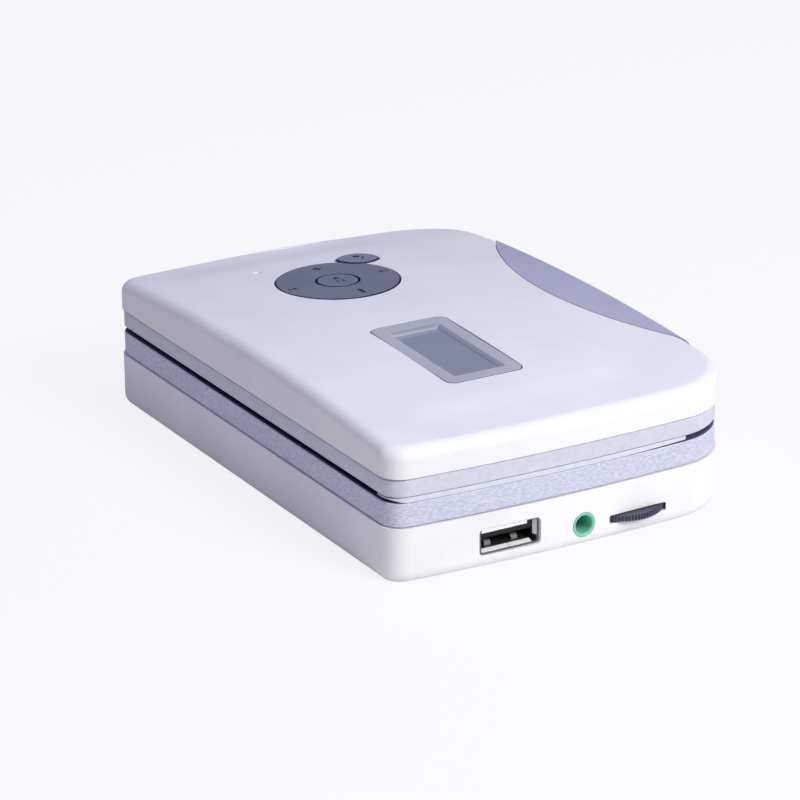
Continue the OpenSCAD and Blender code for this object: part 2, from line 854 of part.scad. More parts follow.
module playback_head() {
    z = z_deck + plate_lift + plate_t;
    color("silver") intersection() {
        translate([head_x, -head_half_l, z]) cube([head_w, 2 * head_half_l, head_h]);
        translate([head_x + head_nose_r, 0, 0]) post(head_nose_r, z, z + head_h);
    }
}

module pinch_arm() {
    z = z_deck + plate_lift;
    dx = roller_x - pivot_x;
    dy = hub_y - pivot_y;
    color("lightgray") difference() {
        union() {
            translate([pivot_x, pivot_y, 0]) post(pivot_r + arm_eye_t, z, z + arm_plate_t);
            translate([pivot_x, pivot_y, z]) rotate(atan2(dy, dx)) translate([0, -arm_plate_w / 2, 0])
                cube([norm([dx, dy]), arm_plate_w, arm_plate_t]);
            translate([roller_x, hub_y, 0]) {
                post(arm_end_r, z, z + arm_plate_t);
                post(roller_pin_r, z, z + arm_plate_t + roller_h + roller_pin_over);
            }
        }
        translate([pivot_x, pivot_y, 0]) post(pivot_r + run_fit, z - over, case_h);
    }
}

module pinch_roller() {
    z = z_deck + plate_lift + arm_plate_t + 0.2;
    color("black") translate([roller_x, hub_y, 0]) difference() {
        post(roller_r, z, z + roller_h);
        post(roller_pin_r + run_fit, z - over, case_h);
    }
}

// Lid

module lid_shell() {
    color("white") difference() {
        union() {
            difference() {
                lid_form(0, z_lid);
                lid_form(lid_wall_t, z_lid - over, 2);
            }
            lid_bosses();
            latch_tab();
        }
        difference() {
            grip_column(grip_r, grip_low);
            lid_form(grip_sink + grip_t + seat_gap, z_lid - over, 4);
        }
        on_crown(dial_x, dial_y) key_openings();
        on_crown(win_x, win_y) translate([0, 0, -2 * lid_wall_t]) linear_extrude(4 * lid_wall_t)
            rounded_rect(win_w + 2 * seat_gap, win_l + 2 * seat_gap, bezel_corner_r + seat_gap);
        for (sx = [-1, 1]) for (sy = [-1, 1]) translate([sx * lid_screw_at.x, sy * lid_screw_at.y, 0])
            post(lid_screw_r + seat_gap / 2, liner_z, liner_z + lid_screw_l + seat_gap);
    }
}

// Column whose side is the crescent's inner edge
module grip_column(r, z0) {
    translate([grip_cx_plan, grip_y, z0]) cylinder(r = r, h = case_h, $fn = 180);
}

module key_openings() {
    post(dial_d / 2 + key_gap, -2 * lid_wall_t, 2 * lid_wall_t);
    translate([0, 0, -2 * lid_wall_t]) linear_extrude(4 * lid_wall_t) mode_outline(key_gap);
    translate(led_off) post(led_r + seat_gap, -2 * lid_wall_t, 2 * lid_wall_t);
}

module lid_bosses() {
    for (s = [-1, 1]) translate([hinge_x + arm_reach - arm_t - 1, s * arm_y - arm_w / 2, arm_seat_z])
        cube([arm_t + 2, arm_w, crown(arm_y) - lid_wall_t / 2 - arm_seat_z]);
    for (sx = [-1, 1]) for (sy = [-1, 1]) translate([sx * lid_screw_at.x, sy * lid_screw_at.y, 0])
        post(liner_boss_r, liner_z + liner_t, crown(lid_screw_at.y) - lid_wall_t / 2);
    on_crown(dial_x, dial_y)
        for (x = [lid_board_min.x + pillar_in, lid_board_max.x - pillar_in])
            for (y = [lid_board_min.y + pillar_in, lid_board_max.y - pillar_in])
                translate([x, y, 0]) post(pillar_r, board_z, -lid_wall_t / 2);
}

// Tab inside the grip side that clicks past the latch spring
module latch_tab() {
    translate([latch_x, latch_y - latch_w / 2, z_deck + plate_lift + 1]) {
        cube([latch_t, latch_w, z_lid + 2 - z_deck]);
        translate([0, 0, z_lid - z_deck - 0.2]) cube([half_w - lid_wall_t / 2 - latch_x, latch_w, 2.2]);
    }
}

module lid_trim() {
    color("lavender") band(trim_inset, trim_inset + trim_t, z_gap, z_lid);
}

module grip_inlay() {
    color("lightsteelblue") intersection() {
        grip_column(grip_r - seat_gap, grip_low + seat_gap);
        difference() {
            lid_form(grip_sink, z_lid, 5);
            lid_form(grip_sink + grip_t, z_lid - over, 4);
        }
    }
}

module window_bezel() {
    color("lightsteelblue") on_crown(win_x, win_y) translate([0, 0, bezel_proud - bezel_t])
        linear_extrude(bezel_t) difference() {
            rounded_rect(win_w, win_l, bezel_corner_r);
            translate([0, (win_border - win_far) / 2])
                rounded_rect(win_w - 2 * win_border, win_l - win_border - win_far, 0.8);
        }
}

module window_pane() {
    color("slategray") on_crown(win_x, win_y) translate([0, 0, bezel_proud - win_recess - pane_t])
        linear_extrude(pane_t + win_recess - bezel_t)
            rounded_rect(win_w - win_border + pane_lap, win_l - win_border + pane_lap, 1);
}

module led_lens() {
    color("white") on_crown(dial_x, dial_y) translate(led_off)
        post(led_r, board_z, crown(dial_y + led_off.y) - crown(dial_y) - led_off.y * tan(crown_slope(dial_y)));
}

module key_board() {
    size = lid_board_max - lid_board_min;
    color("darkgreen") on_crown(dial_x, dial_y)
        translate([lid_board_min.x, lid_board_min.y, board_z - lid_board_t]) cube([size.x, size.y, lid_board_t]);
}

module key_switches() {
    ring = dial_d / 2 - 3.6;
    places = concat([[0, 0], [mode_x, mode_y]], [for (a = [0 : 90 : 270]) ring * [cos(a), sin(a)]]);
    color("gold") on_crown(dial_x, dial_y) for (p = places) translate(p) post(1.6, board_z, board_z + switch_t);
}

module tilt_web() {
    color("gray") on_crown(dial_x, dial_y) translate([0, 0, board_z + 0.2]) linear_extrude(tilt_web_t) difference() {
        circle(tilt_web_r + tilt_web_w);
        circle(tilt_web_r);
    }
}

module ring_key() {
    color("slategray") on_crown(dial_x, dial_y) translate([0, 0, dial_low]) linear_extrude(dial_t) difference() {
        circle(dial_d / 2);
        circle(centre_d / 2 + key_gap);
        mode_outline(key_gap);
    }
}

module centre_key() {
    color("slategray") on_crown(dial_x, dial_y) post(centre_d / 2, push_low, dial_proud + 0.05);
}

module mode_key() {
    color("slategray") on_crown(dial_x, dial_y) translate([0, 0, push_low])
        linear_extrude(mode_proud - push_low) mode_outline(0);
}

module lid_liner() {
    color("gainsboro") difference() {
        translate([0, 0, liner_z]) linear_extrude(liner_t) difference() {
            intersection() {
                polygon(outline(lid_wall_t + 0.6));
                square([case_w, 2 * liner_half_l], center = true);
            }
            translate([win_x, win_y]) rounded_rect(win_w - 2, win_l - 2, 1);
            translate([latch_x + latch_t, latch_y]) square([2 * latch_t + 2, latch_w + 1], center = true);
        }
        for (sx = [-1, 1]) for (sy = [-1, 1]) translate([sx * lid_screw_at.x, sy * lid_screw_at.y, 0])
            post(lid_screw_r + 0.1, liner_z - over, liner_z + liner_t + over);
    }
}

module lid_screws() {
    color("silver") for (sx = [-1, 1]) for (sy = [-1, 1])
        translate([sx * lid_screw_at.x, sy * lid_screw_at.y, 0]) {
            post(lid_screw_head_r, liner_z - lid_screw_head_t, liner_z);
            post(lid_screw_r, liner_z - lid_screw_head_t / 2, liner_z + lid_screw_l);
        }
}

// Bowed leaf springs under the liner that steady the cassette
module cassette_springs() {
    r = (steady_l * steady_l / 4 + steady_sag * steady_sag) / (2 * steady_sag);
    color("silver") for (s = [-1, 1]) translate([hub_x + steady_at.x, s * steady_at.y, liner_z])
        rotate([90, 0, 90]) linear_extrude(steady_w) intersection() {
            difference() {
                translate([0, r - steady_sag]) circle(r, $fn = 180);
                translate([0, r - steady_sag]) circle(r - steady_t, $fn = 180);
            }
            translate([-steady_l, -steady_l]) square([2 * steady_l, steady_l]);
        }
}

// Swan-necked arms that carry the lid on the hinge pins
module hinge_arms() {
    color("gray") for (s = [-1, 1]) difference() {
        union() {
            along_y(hinge_x, hinge_z, s * arm_y - arm_w / 2, s * arm_y + arm_w / 2, hinge_eye_r);
            translate([hinge_x, s * arm_y - arm_w / 2, hinge_z - arm_t / 2]) {
                cube([arm_reach, arm_w, arm_t]);
                translate([arm_reach - arm_t, 0, 0]) cube([arm_t, arm_w, arm_seat_z - hinge_z + arm_t / 2]);
            }
        }
        along_y(hinge_x, hinge_z, s * arm_y - arm_w, s * arm_y + arm_w, hinge_pin_r + run_fit);
    }
}

base_shell();
base_trim();
deck();
hinge_pins();
case_screws();
latch_spring();
main_board();
board_chips();
capacitors();
usb_shell();
usb_insulator();
usb_contacts();
audio_jack();
jack_contacts();
volume_pot();
volume_wheel();
motor();
motor_pulley();
flywheel();
capstan();
drive_pinion();
capstan_bush();
drive_belt();
idler_gear();
idler_pin();
take_up_spindle();
take_up_gear();
supply_spindle();
supply_clip();
head_plate();
playback_head();
pinch_arm();
pinch_roller();
lid_shell();
lid_trim();
grip_inlay();
window_bezel();
window_pane();
led_lens();
key_board();
key_switches();
tilt_web();
ring_key();
centre_key();
mode_key();
lid_liner();
lid_screws();
cassette_springs();
hinge_arms();
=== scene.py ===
"""Looks of a pocket cassette player: white shells, silver bands, a key dial, a window and three ports.

Metres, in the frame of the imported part: +Z up, the ports face -Y, the lid hinges along -X.
"""
import json
import math

import bmesh
import bpy
from mathutils import Matrix, Vector


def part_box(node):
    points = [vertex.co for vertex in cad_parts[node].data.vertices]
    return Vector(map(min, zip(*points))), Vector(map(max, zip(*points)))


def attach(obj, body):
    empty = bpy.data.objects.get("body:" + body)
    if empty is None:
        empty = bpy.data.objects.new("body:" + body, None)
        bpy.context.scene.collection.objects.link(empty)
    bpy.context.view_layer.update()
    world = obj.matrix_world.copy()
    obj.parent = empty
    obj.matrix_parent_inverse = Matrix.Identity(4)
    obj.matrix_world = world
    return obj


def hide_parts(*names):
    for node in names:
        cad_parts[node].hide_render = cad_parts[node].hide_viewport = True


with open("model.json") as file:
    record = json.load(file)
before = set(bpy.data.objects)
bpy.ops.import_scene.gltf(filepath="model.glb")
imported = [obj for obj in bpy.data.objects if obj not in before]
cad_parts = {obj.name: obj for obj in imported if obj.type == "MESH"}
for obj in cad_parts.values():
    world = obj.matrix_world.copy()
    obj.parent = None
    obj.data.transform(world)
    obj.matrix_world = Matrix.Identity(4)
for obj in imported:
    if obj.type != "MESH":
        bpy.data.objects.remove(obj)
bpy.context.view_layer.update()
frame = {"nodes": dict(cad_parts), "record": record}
MM = 0.001
UP = Vector((0, 0, 1))

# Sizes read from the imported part
HALF_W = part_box("base_shell")[1].x
HALF_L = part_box("base_shell")[1].y
Z_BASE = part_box("base_shell")[1].z
Z_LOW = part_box("base_trim")[1].z
Z_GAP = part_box("lid_trim")[0].z
Z_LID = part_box("lid_trim")[1].z
CASE_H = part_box("lid_shell")[1].z

# Form of the case
END_BOW = 1.8 * MM
HINGE_CORNER = 4.7 * MM
GRIP_CORNER = 15 * MM
CROWN_DROP = 3 * MM
SHOULDER = 2.6 * MM
FOOT_EDGE = 2.6 * MM
FOOT_CUT = 0.3 * MM
BASE_WALL = 2 * MM
BASE_FLOOR = 1.4 * MM
LID_WALL = 1.8 * MM
BAND_INSET = 0.35 * MM
BAND_WALL = 1 * MM
SCREWS_AT = ((-34 * MM, 48 * MM), (-34 * MM, -46 * MM), (34 * MM, -44 * MM), (34 * MM, 3 * MM))
BOSS_R = 2.6 * MM
BOSS_TOP = 9 * MM
SCREW_HEAD_R = 2.2 * MM
SCREW_SEAT = 2 * MM
SCREW_R = 1.1 * MM
SLICES = 44

# Clearance between pieces that fit, overlap of pieces that join, and how far a cutter stands out
SEAT = 0.05 * MM
CUT_OVER = 3 * MM

# Distances within which points are merged or count as level
MERGE = 1e-7
LEVEL = 1e-6

# Keys, window and crescent
DIAL_AT = (-4 * MM, 26 * MM)
DIAL_R = 12.85 * MM
DIAL_T = 1.8 * MM
DIAL_PROUD = 0.25 * MM
MIDDLE_R = 4.4 * MM
MIDDLE_GROOVE = 0.15 * MM
MIDDLE_PROUD = 0.26 * MM
KEY_GAP = 0.3 * MM
KEY_FLARE = 0.2 * MM
FINE_FLARE = 0.1 * MM
SMALL_AT = (10.95 * MM, 11 * MM)
SMALL_TURN = math.radians(-24)
SMALL_W = 9.1 * MM
SMALL_L = 6.5 * MM
SMALL_PROUD = 0.5 * MM
KEY_LOW = -1.45 * MM
LED_AT = (-10.95 * MM, 14.95 * MM)
LED_R = 0.75 * MM
WINDOW_AT = (-6 * MM, -20.9 * MM)
WINDOW_W = 17.3 * MM
WINDOW_L = 32 * MM
WINDOW_BORDER = 2.8 * MM
WINDOW_FAR = 3.8 * MM
WINDOW_SEAM = 0.12 * MM
WINDOW_CORNER = 2 * MM
FRAME_T = 0.9 * MM
FRAME_PROUD = 0.1 * MM
REVEAL = 0.55 * MM
GRIP_AT = (96.4 * MM, -2.1 * MM)
GRIP_R = 67.7 * MM
GRIP_LOW = 24.6 * MM
GRIP_SINK = 0.1 * MM
GRIP_SHOULDER = 1.7 * MM
GRIP_T = 0.75 * MM
GRIP_SEAM = 0.18 * MM

# Plateau on the lid's top, and its fall to the back corner
PLATEAU_X = (-30 * MM, 19 * MM)
PLATEAU_Y = (-46 * MM, 49 * MM)
PLATEAU_EDGE = 9 * MM
PLATEAU_RISE = 0.36 * MM
PLATEAU_DROP = 0.14 * MM
BACK_CORNER_X = (-4 * MM, 34 * MM)
BACK_CORNER_Y = (36 * MM, 58 * MM)
BACK_CORNER_DROP = 0.95 * MM

# Ports
USB_AT = -14.5 * MM
USB_W = 13.1 * MM
USB_H = 5.2 * MM
USB_DEPTH = 14 * MM
USB_SKIN = 0.35 * MM
USB_RIM = 0.12 * MM
JACK_AT = (1.95 * MM, 4.3 * MM)
JACK_R = 2.45 * MM
JACK_BORE = 1.8 * MM
JACK_DEPTH = 13 * MM
WHEEL_R = 9 * MM
WHEEL_KNURLS = 84
WHEEL_SLOT_R = 9.5 * MM
WHEEL_SLOT_H = 1.7 * MM

BOW_R = (HALF_W ** 2 + END_BOW ** 2) / (2 * END_BOW)
BOW_Y = HALF_L - BOW_R


def front_y(x):
    """Front face of the case at x."""
    return -BOW_Y - math.sqrt(BOW_R ** 2 - x ** 2)


def fall(y):
    """How far the crown has fallen at y."""
    return CROWN_DROP * (y / HALF_L) ** 2


def on_crown(x, y):
    """Frame on the lid's surface, turned to the slope there."""
    slope = math.atan(-2 * CROWN_DROP * y / HALF_L ** 2)
    return Matrix.Translation((x, y, CASE_H - fall(y))) @ Matrix.Rotation(slope, 4, "X")


def on_front(x, z):
    """Frame on the front face at x and z, with its own Z pointing out of the case."""
    lean = math.asin(x / BOW_R)
    turn = Matrix.Rotation(lean, 4, "Z") @ Matrix.Rotation(math.radians(90), 4, "X")
    return Matrix.Translation((x, front_y(x), z)) @ turn


def beside_dial(offset):
    """Place on the plan, given from the dial's middle."""
    return DIAL_AT[0] + offset[0], DIAL_AT[1] + offset[1]


ON_DIAL = on_crown(*DIAL_AT)
SMALL_PLACE = ON_DIAL @ Matrix.Translation((*SMALL_AT, 0)) @ Matrix.Rotation(SMALL_TURN, 4, "Z")


# Drawing with lines and arcs

def line_to(bm, last, x, y):
    end = bmesh.ops.extrude_vert_indiv(bm, verts=[last])["verts"][0]
    end.co = (x, y, last.co.z)
    return end


def arc_about(bm, last, centre, degrees, steps):
    turned = bmesh.ops.spin(bm, geom=[last], cent=(centre[0], centre[1], last.co.z), axis=UP,
                            angle=math.radians(degrees), steps=steps)
    return turned["geom_last"][0]


def fill_loop(bm):
    """Closes the drawn line into one face that looks up."""
    bmesh.ops.remove_doubles(bm, verts=bm.verts[:], dist=MERGE)
    face = bmesh.ops.edgeloop_fill(bm, edges=bm.edges[:])["faces"][0]
    face.normal_update()
    if face.normal.z < 0:
        face.normal_flip()
    return face


def plan_face(bm, inset, z):
    """Plan of the case: two straight sides, two bowed ends and four round corners."""
    hinge_x = HINGE_CORNER - HALF_W
    grip_x = HALF_W - GRIP_CORNER
    hinge_y = BOW_Y + math.sqrt((BOW_R - HINGE_CORNER) ** 2 - hinge_x ** 2)
    grip_y = BOW_Y + math.sqrt((BOW_R - GRIP_CORNER) ** 2 - grip_x ** 2)
    hinge_turn = math.degrees(math.asin(hinge_x / (BOW_R - HINGE_CORNER)))
    grip_turn = math.degrees(math.asin(grip_x / (BOW_R - GRIP_CORNER)))
    pen = bm.verts.new((HALF_W - inset, 0, z))
    pen = line_to(bm, pen, HALF_W - inset, grip_y)
    pen = arc_about(bm, pen, (grip_x, grip_y), 90 - grip_turn, 16)
    pen = arc_about(bm, pen, (0, BOW_Y), grip_turn - hinge_turn, 24)
    pen = arc_about(bm, pen, (hinge_x, hinge_y), 90 + hinge_turn, 12)
    line_to(bm, pen, inset - HALF_W, 0)
    bmesh.ops.mirror(bm, geom=bm.verts[:] + bm.edges[:], matrix=Matrix(), merge_dist=MERGE, axis="Y")
    return fill_loop(bm)


def rounded_face(bm, w, l, r, z=0.0, steps=8):
    """Rectangle with round corners."""
    pen = bm.verts.new((w / 2, r - l / 2, z))
    for sx, sy, x, y in ((1, 1, w / 2, l / 2 - r), (-1, 1, r - w / 2, l / 2),
                         (-1, -1, -w / 2, r - l / 2), (1, -1, w / 2 - r, -l / 2)):
        pen = line_to(bm, pen, x, y)
        pen = arc_about(bm, pen, (sx * (w / 2 - r), sy * (l / 2 - r)), 90, steps)
    return fill_loop(bm)


def oval_face(bm, w, l, steps=32):
    """Oval where two equal discs overlap."""
    r = (w * w + l * l) / (4 * l)
    turn = math.degrees(2 * math.asin(w / 2 / r))
    pen = bm.verts.new((w / 2, 0, 0))
    pen = arc_about(bm, pen, (0, l / 2 - r), turn, steps)
    arc_about(bm, pen, (0, r - l / 2), turn, steps)
    return fill_loop(bm)


def round_face(bm, r, z=0.0, segments=96):
    made = bmesh.ops.create_circle(bm, cap_ends=True, radius=r, segments=segments,
                                   matrix=Matrix.Translation((0, 0, z)))
    return made["verts"][0].link_faces[0]


# Shaping

def raise_face(bm, face, by):
    """Extrudes one face along by and gives the moved face back."""
    made = bmesh.ops.extrude_discrete_faces(bm, faces=[face])["faces"][0]
    bmesh.ops.translate(bm, vec=by, verts=made.verts[:])
    return made


def grow_face(bm, face, by, by_y=None):
    """Widens a face about its own middle by a margin on each side, which can differ along Y."""
    middle = face.calc_center_bounds()
    size_x = max(v.co.x for v in face.verts) - middle.x
    size_y = max(v.co.y for v in face.verts) - middle.y
    grow = (1 + by / size_x, 1 + (by if by_y is None else by_y) / size_y, 1)
    bmesh.ops.scale(bm, vec=grow, space=Matrix.Translation(-middle), verts=face.verts[:])


def close_up(bm):
    """Merges doubled points, caps what is still open and turns every face outward."""
    bmesh.ops.remove_doubles(bm, verts=bm.verts[:], dist=MERGE)
    bmesh.ops.holes_fill(bm, edges=[e for e in bm.edges if e.is_boundary], sides=0)
    bmesh.ops.recalc_face_normals(bm, faces=bm.faces[:])


def sharp_edges(bm, degrees=50):
    return [e for e in bm.edges if e.is_manifold and e.calc_face_angle(0) > math.radians(degrees)]


def soften(bm, edges, width, segments=3):
    bmesh.ops.bevel(bm, geom=edges, offset=width, offset_type="OFFSET", segments=segments, profile=0.5,
                    affect="EDGES", material=-1, clamp_overlap=True)


def slice_along_y(bm):
    """Lines across the piece, so that it can follow the crown."""
    for k in range(1, SLICES):
        y = HALF_L * (2 * k / SLICES - 1)
        bmesh.ops.bisect_plane(bm, geom=bm.verts[:] + bm.edges[:] + bm.faces[:], dist=MERGE,
                               plane_co=(0, y, 0), plane_no=(0, 1, 0))


def bend_to_crown(bm, sign=1):
    for v in bm.verts:
        if v.co.z > Z_LID + 10 * LEVEL:
            v.co.z -= sign * fall(v.co.y)


def object_from(bm, name):
    mesh = bpy.data.meshes.new(name)
    bm.to_mesh(mesh)
    bm.free()
    piece = bpy.data.objects.new(name, mesh)
    bpy.context.scene.collection.objects.link(piece)
    return piece


def bake_modifiers(piece):
    depsgraph = bpy.context.evaluated_depsgraph_get()
    made = bpy.data.meshes.new_from_object(piece.evaluated_get(depsgraph))
    old = piece.data
    piece.modifiers.clear()
    piece.data = made
    bpy.data.meshes.remove(old)
    made.name = piece.name


def combine(piece, others, operation):
    """Cuts other solids out of a piece, joins them to it or keeps what they share, and removes them."""
    for other in others:
        step = piece.modifiers.new(operation.lower(), "BOOLEAN")
        step.operation = operation
        step.solver = "EXACT"
        step.object = other
    bpy.context.view_layer.update()
    bake_modifiers(piece)
    for other in others:
        mesh = other.data
        bpy.data.objects.remove(other)
        bpy.data.meshes.remove(mesh)
    return piece


def reshape(piece, *steps):
    """Runs mesh steps on a finished piece."""
    bm = bmesh.new()
    bm.from_mesh(piece.data)
    for step in steps:
        step(bm)
    bm.to_mesh(piece.data)
    bm.free()


def finish_piece(piece, body, material, replaced=(), smooth=40):
    """Shading, material, its body and the parts it hides for one piece."""
    mesh = piece.data
    for polygon in mesh.polygons:
        polygon.use_smooth = True
    mesh.set_sharp_from_angle(angle=math.radians(smooth))
    weighted = piece.modifiers.new("even shading", "WEIGHTED_NORMAL")
    weighted.keep_sharp = True
    mesh.materials.clear()
    mesh.materials.append(material)
    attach(piece, body)
    if replaced:
        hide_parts(*replaced)
    return piece


def opening_cutter(name, draw, place, depth, flare, steps=4):
    """Solid that cuts an opening with a rounded rim. Its own Z is 0 at the surface and points out."""
    bm = bmesh.new()
    face = draw(bm)
    bmesh.ops.translate(bm, vec=(0, 0, -depth), verts=bm.verts[:])
    face = raise_face(bm, face, (0, 0, depth - flare))
    for k in range(1, steps + 1):
        now, before = math.radians(90 * k / steps), math.radians(90 * (k - 1) / steps)
        face = raise_face(bm, face, (0, 0, flare * (math.sin(now) - math.sin(before))))
        grow_face(bm, face, flare * (math.cos(before) - math.cos(now)))
    raise_face(bm, face, (0, 0, CUT_OVER))
    bmesh.ops.transform(bm, matrix=place, verts=bm.verts[:])
    close_up(bm)
    return object_from(bm, name)


# Materials

def shader_nodes(name):
    material = bpy.data.materials.new(name)
    material.use_nodes = True
    nodes = material.node_tree.nodes
    return material, nodes, material.node_tree.links, nodes["Principled BSDF"]


def object_pattern(nodes, links, kind, scale, detail=4.0, stretch=(1, 1, 1)):
    """Texture on Object coordinates. Scale is in repeats per metre."""
    where = nodes.new("ShaderNodeTexCoord")
    fit = nodes.new("ShaderNodeMapping")
    fit.inputs["Scale"].default_value = stretch
    texture = nodes.new(kind)
    texture.inputs["Scale"].default_value = scale
    texture.inputs["Detail"].default_value = detail
    links.new(where.outputs["Object"], fit.inputs["Vector"])
    links.new(fit.outputs["Vector"], texture.inputs["Vector"])
    return texture


def ramp_between(nodes, links, source, low, high, start=0.35, end=0.65):
    ramp = nodes.new("ShaderNodeValToRGB")
    ramp.color_ramp.elements[0].position = start
    ramp.color_ramp.elements[1].position = end
    ramp.color_ramp.elements[0].color = (*low, 1)
    ramp.color_ramp.elements[1].color = (*high, 1)
    links.new(source, ramp.inputs["Fac"])
    return ramp.outputs["Color"]


def spread(nodes, links, source, low, high):
    span = nodes.new("ShaderNodeMapRange")
    span.inputs["To Min"].default_value = low
    span.inputs["To Max"].default_value = high
    links.new(source, span.inputs["Value"])
    return span.outputs["Result"]


def add_bump(nodes, links, shader, source, strength, distance):
    bump = nodes.new("ShaderNodeBump")
    bump.inputs["Strength"].default_value = strength
    bump.inputs["Distance"].default_value = distance
    links.new(source, bump.inputs["Height"])
    links.new(bump.outputs["Normal"], shader.inputs["Normal"])


def paint_shade_by_slope(nodes, links, colour, shade, dark_at, plain_at):
    """Paints shade: goes over to a dark colour where the surface's own upward slope passes from plain_at to
    dark_at.
    """
    where = nodes.new("ShaderNodeTexCoord")
    axes = nodes.new("ShaderNodeSeparateXYZ")
    links.new(where.outputs["Normal"], axes.inputs["Vector"])
    level = nodes.new("ShaderNodeMapRange")
    level.inputs["From Min"].default_value = dark_at
    level.inputs["From Max"].default_value = plain_at
    links.new(axes.outputs["Z"], level.inputs["Value"])
    blend = nodes.new("ShaderNodeMix")
    blend.data_type = "RGBA"
    blend.inputs["A"].default_value = (*shade, 1)
    links.new(level.outputs["Result"], blend.inputs["Factor"])
    links.new(colour, blend.inputs["B"])
    return blend.outputs["Result"]


def moulded(name, dark, light, rough, grain=4000, depth=0.004 * MM, metal=0.0, coat=0.0, gloss=0.5,
            painted_side_shade=None, steep=0.7):
    """Moulded or lacquered surface: slow colour drift, fine grain, and dark sides painted as shade if a side
    shade colour is given.
    """
    material, nodes, links, shader = shader_nodes(name)
    drift = object_pattern(nodes, links, "ShaderNodeTexNoise", scale=60)
    colour = ramp_between(nodes, links, drift.outputs["Fac"], dark, light)
    # Steep sides take a dark colour as painted shade
    if painted_side_shade:
        colour = paint_shade_by_slope(nodes, links, colour, painted_side_shade, dark_at=steep, plain_at=steep + 0.15)
    links.new(colour, shader.inputs["Base Color"])
    fine = object_pattern(nodes, links, "ShaderNodeTexNoise", scale=grain)
    links.new(spread(nodes, links, fine.outputs["Fac"], *rough), shader.inputs["Roughness"])
    add_bump(nodes, links, shader, fine.outputs["Fac"], strength=0.5, distance=depth)
    shader.inputs["Metallic"].default_value = metal
    shader.inputs["Specular IOR Level"].default_value = gloss
    shader.inputs["Coat Weight"].default_value = coat
    return material


def brushed_band(name, dark, light, along, across, depth, painted_top_shade=None):
    """Silver lacquer over short strokes that lie along the band. Its level top can be darkened with painted
    shade.
    """
    material, nodes, links, shader = shader_nodes(name)
    strokes = object_pattern(nodes, links, "ShaderNodeTexNoise", scale=1000, detail=5,
                             stretch=(along, along, across))
    flecks = object_pattern(nodes, links, "ShaderNodeTexNoise", scale=3200, detail=3)
    colour = ramp_between(nodes, links, strokes.outputs["Fac"], dark, light, start=0.36, end=0.64)
    # The level top takes a dark colour as painted shade
    if painted_top_shade:
        colour = paint_shade_by_slope(nodes, links, colour, painted_top_shade, dark_at=0.98, plain_at=0.93)
    links.new(colour, shader.inputs["Base Color"])
    links.new(spread(nodes, links, flecks.outputs["Fac"], low=0.42, high=0.6), shader.inputs["Roughness"])
    add_bump(nodes, links, shader, strokes.outputs["Fac"], strength=0.6, distance=depth)
    shader.inputs["Specular IOR Level"].default_value = 0.35
    return material


WHITE = moulded("white plastic", (0.80, 0.80, 0.83), (0.84, 0.84, 0.87), (0.42, 0.52), gloss=0.28)
# The lower band's level top, seen in the slit, is painted dark as shade
LOWER_BAND = brushed_band("brushed silver with painted top shade", (0.47, 0.475, 0.64), (0.63, 0.675, 0.80),
                          along=1.0, across=4.2, depth=0.02 * MM, painted_top_shade=(0.10, 0.096, 0.25))
UPPER_BAND = brushed_band("satin silver", (0.565, 0.58, 0.695), (0.615, 0.63, 0.745),
                          along=0.7, across=1.1, depth=0.006 * MM)
# Lighter copy of the upper band's lacquer: painted highlight for the lip in the slit
HIGHLIT_LIP = brushed_band("lip with painted highlight", (0.61, 0.635, 0.735), (0.68, 0.70, 0.79),
                   along=0.7, across=1.1, depth=0.006 * MM)
CRESCENT = moulded("crescent lacquer", (0.495, 0.51, 0.67), (0.525, 0.543, 0.70), (0.36, 0.46), metal=0.15)
# The slate keys' steep sides are painted dark as the shade in the gaps round them
SLATE = moulded("slate key plastic with painted side shade", (0.163, 0.186, 0.263), (0.184, 0.208, 0.288), (0.42, 0.55),
                depth=0.008 * MM, gloss=0.3, painted_side_shade=(0.025, 0.03, 0.065))
PALE_SLATE = moulded("pale slate plastic with painted side shade", (0.200, 0.222, 0.310), (0.222, 0.244, 0.336), (0.42, 0.55),
                     depth=0.008 * MM, gloss=0.3, painted_side_shade=(0.035, 0.04, 0.08))
PRINT = moulded("dark print", (0.02, 0.022, 0.06), (0.03, 0.032, 0.075), (0.5, 0.6))
# The surround's steep walls are painted dark as the shade in its seam and at the pane
SURROUND = moulded("window grey with painted shade", (0.428, 0.455, 0.535), (0.468, 0.495, 0.575), (0.3, 0.4),
                   painted_side_shade=(0.06, 0.065, 0.09), steep=0.15)
GLASS = moulded("tinted pane", (0.25, 0.282, 0.38), (0.27, 0.302, 0.40), (0.08, 0.14),
                depth=0.001 * MM, coat=0.3)
LENS = moulded("pilot lens", (0.9, 0.9, 0.92), (0.95, 0.95, 0.96), (0.12, 0.2))
STEEL = moulded("plated steel", (0.55, 0.55, 0.57), (0.68, 0.68, 0.70), (0.24, 0.36),
                grain=1500, depth=0.001 * MM, metal=1.0)
BRASS = moulded("turned brass", (0.62, 0.42, 0.16), (0.72, 0.52, 0.22), (0.22, 0.36),
                grain=1500, depth=0.001 * MM, metal=1.0)
GREEN = moulded("green plastic", (0.18, 0.54, 0.41), (0.20, 0.58, 0.45), (0.3, 0.42))
# The sleeve's plating is painted dark as the shade inside the socket
SHADED_SLEEVE = moulded("sleeve plating with painted shade", (0.13, 0.12, 0.125), (0.18, 0.165, 0.17), (0.26, 0.38),
                 grain=1500, metal=0.8)
# Lit copy of the socket's plating: painted light at the mouth
LIT_TIN = moulded("tin with painted light", (0.84, 0.86, 0.97), (0.90, 0.92, 1.0), (0.3, 0.42), grain=1500)
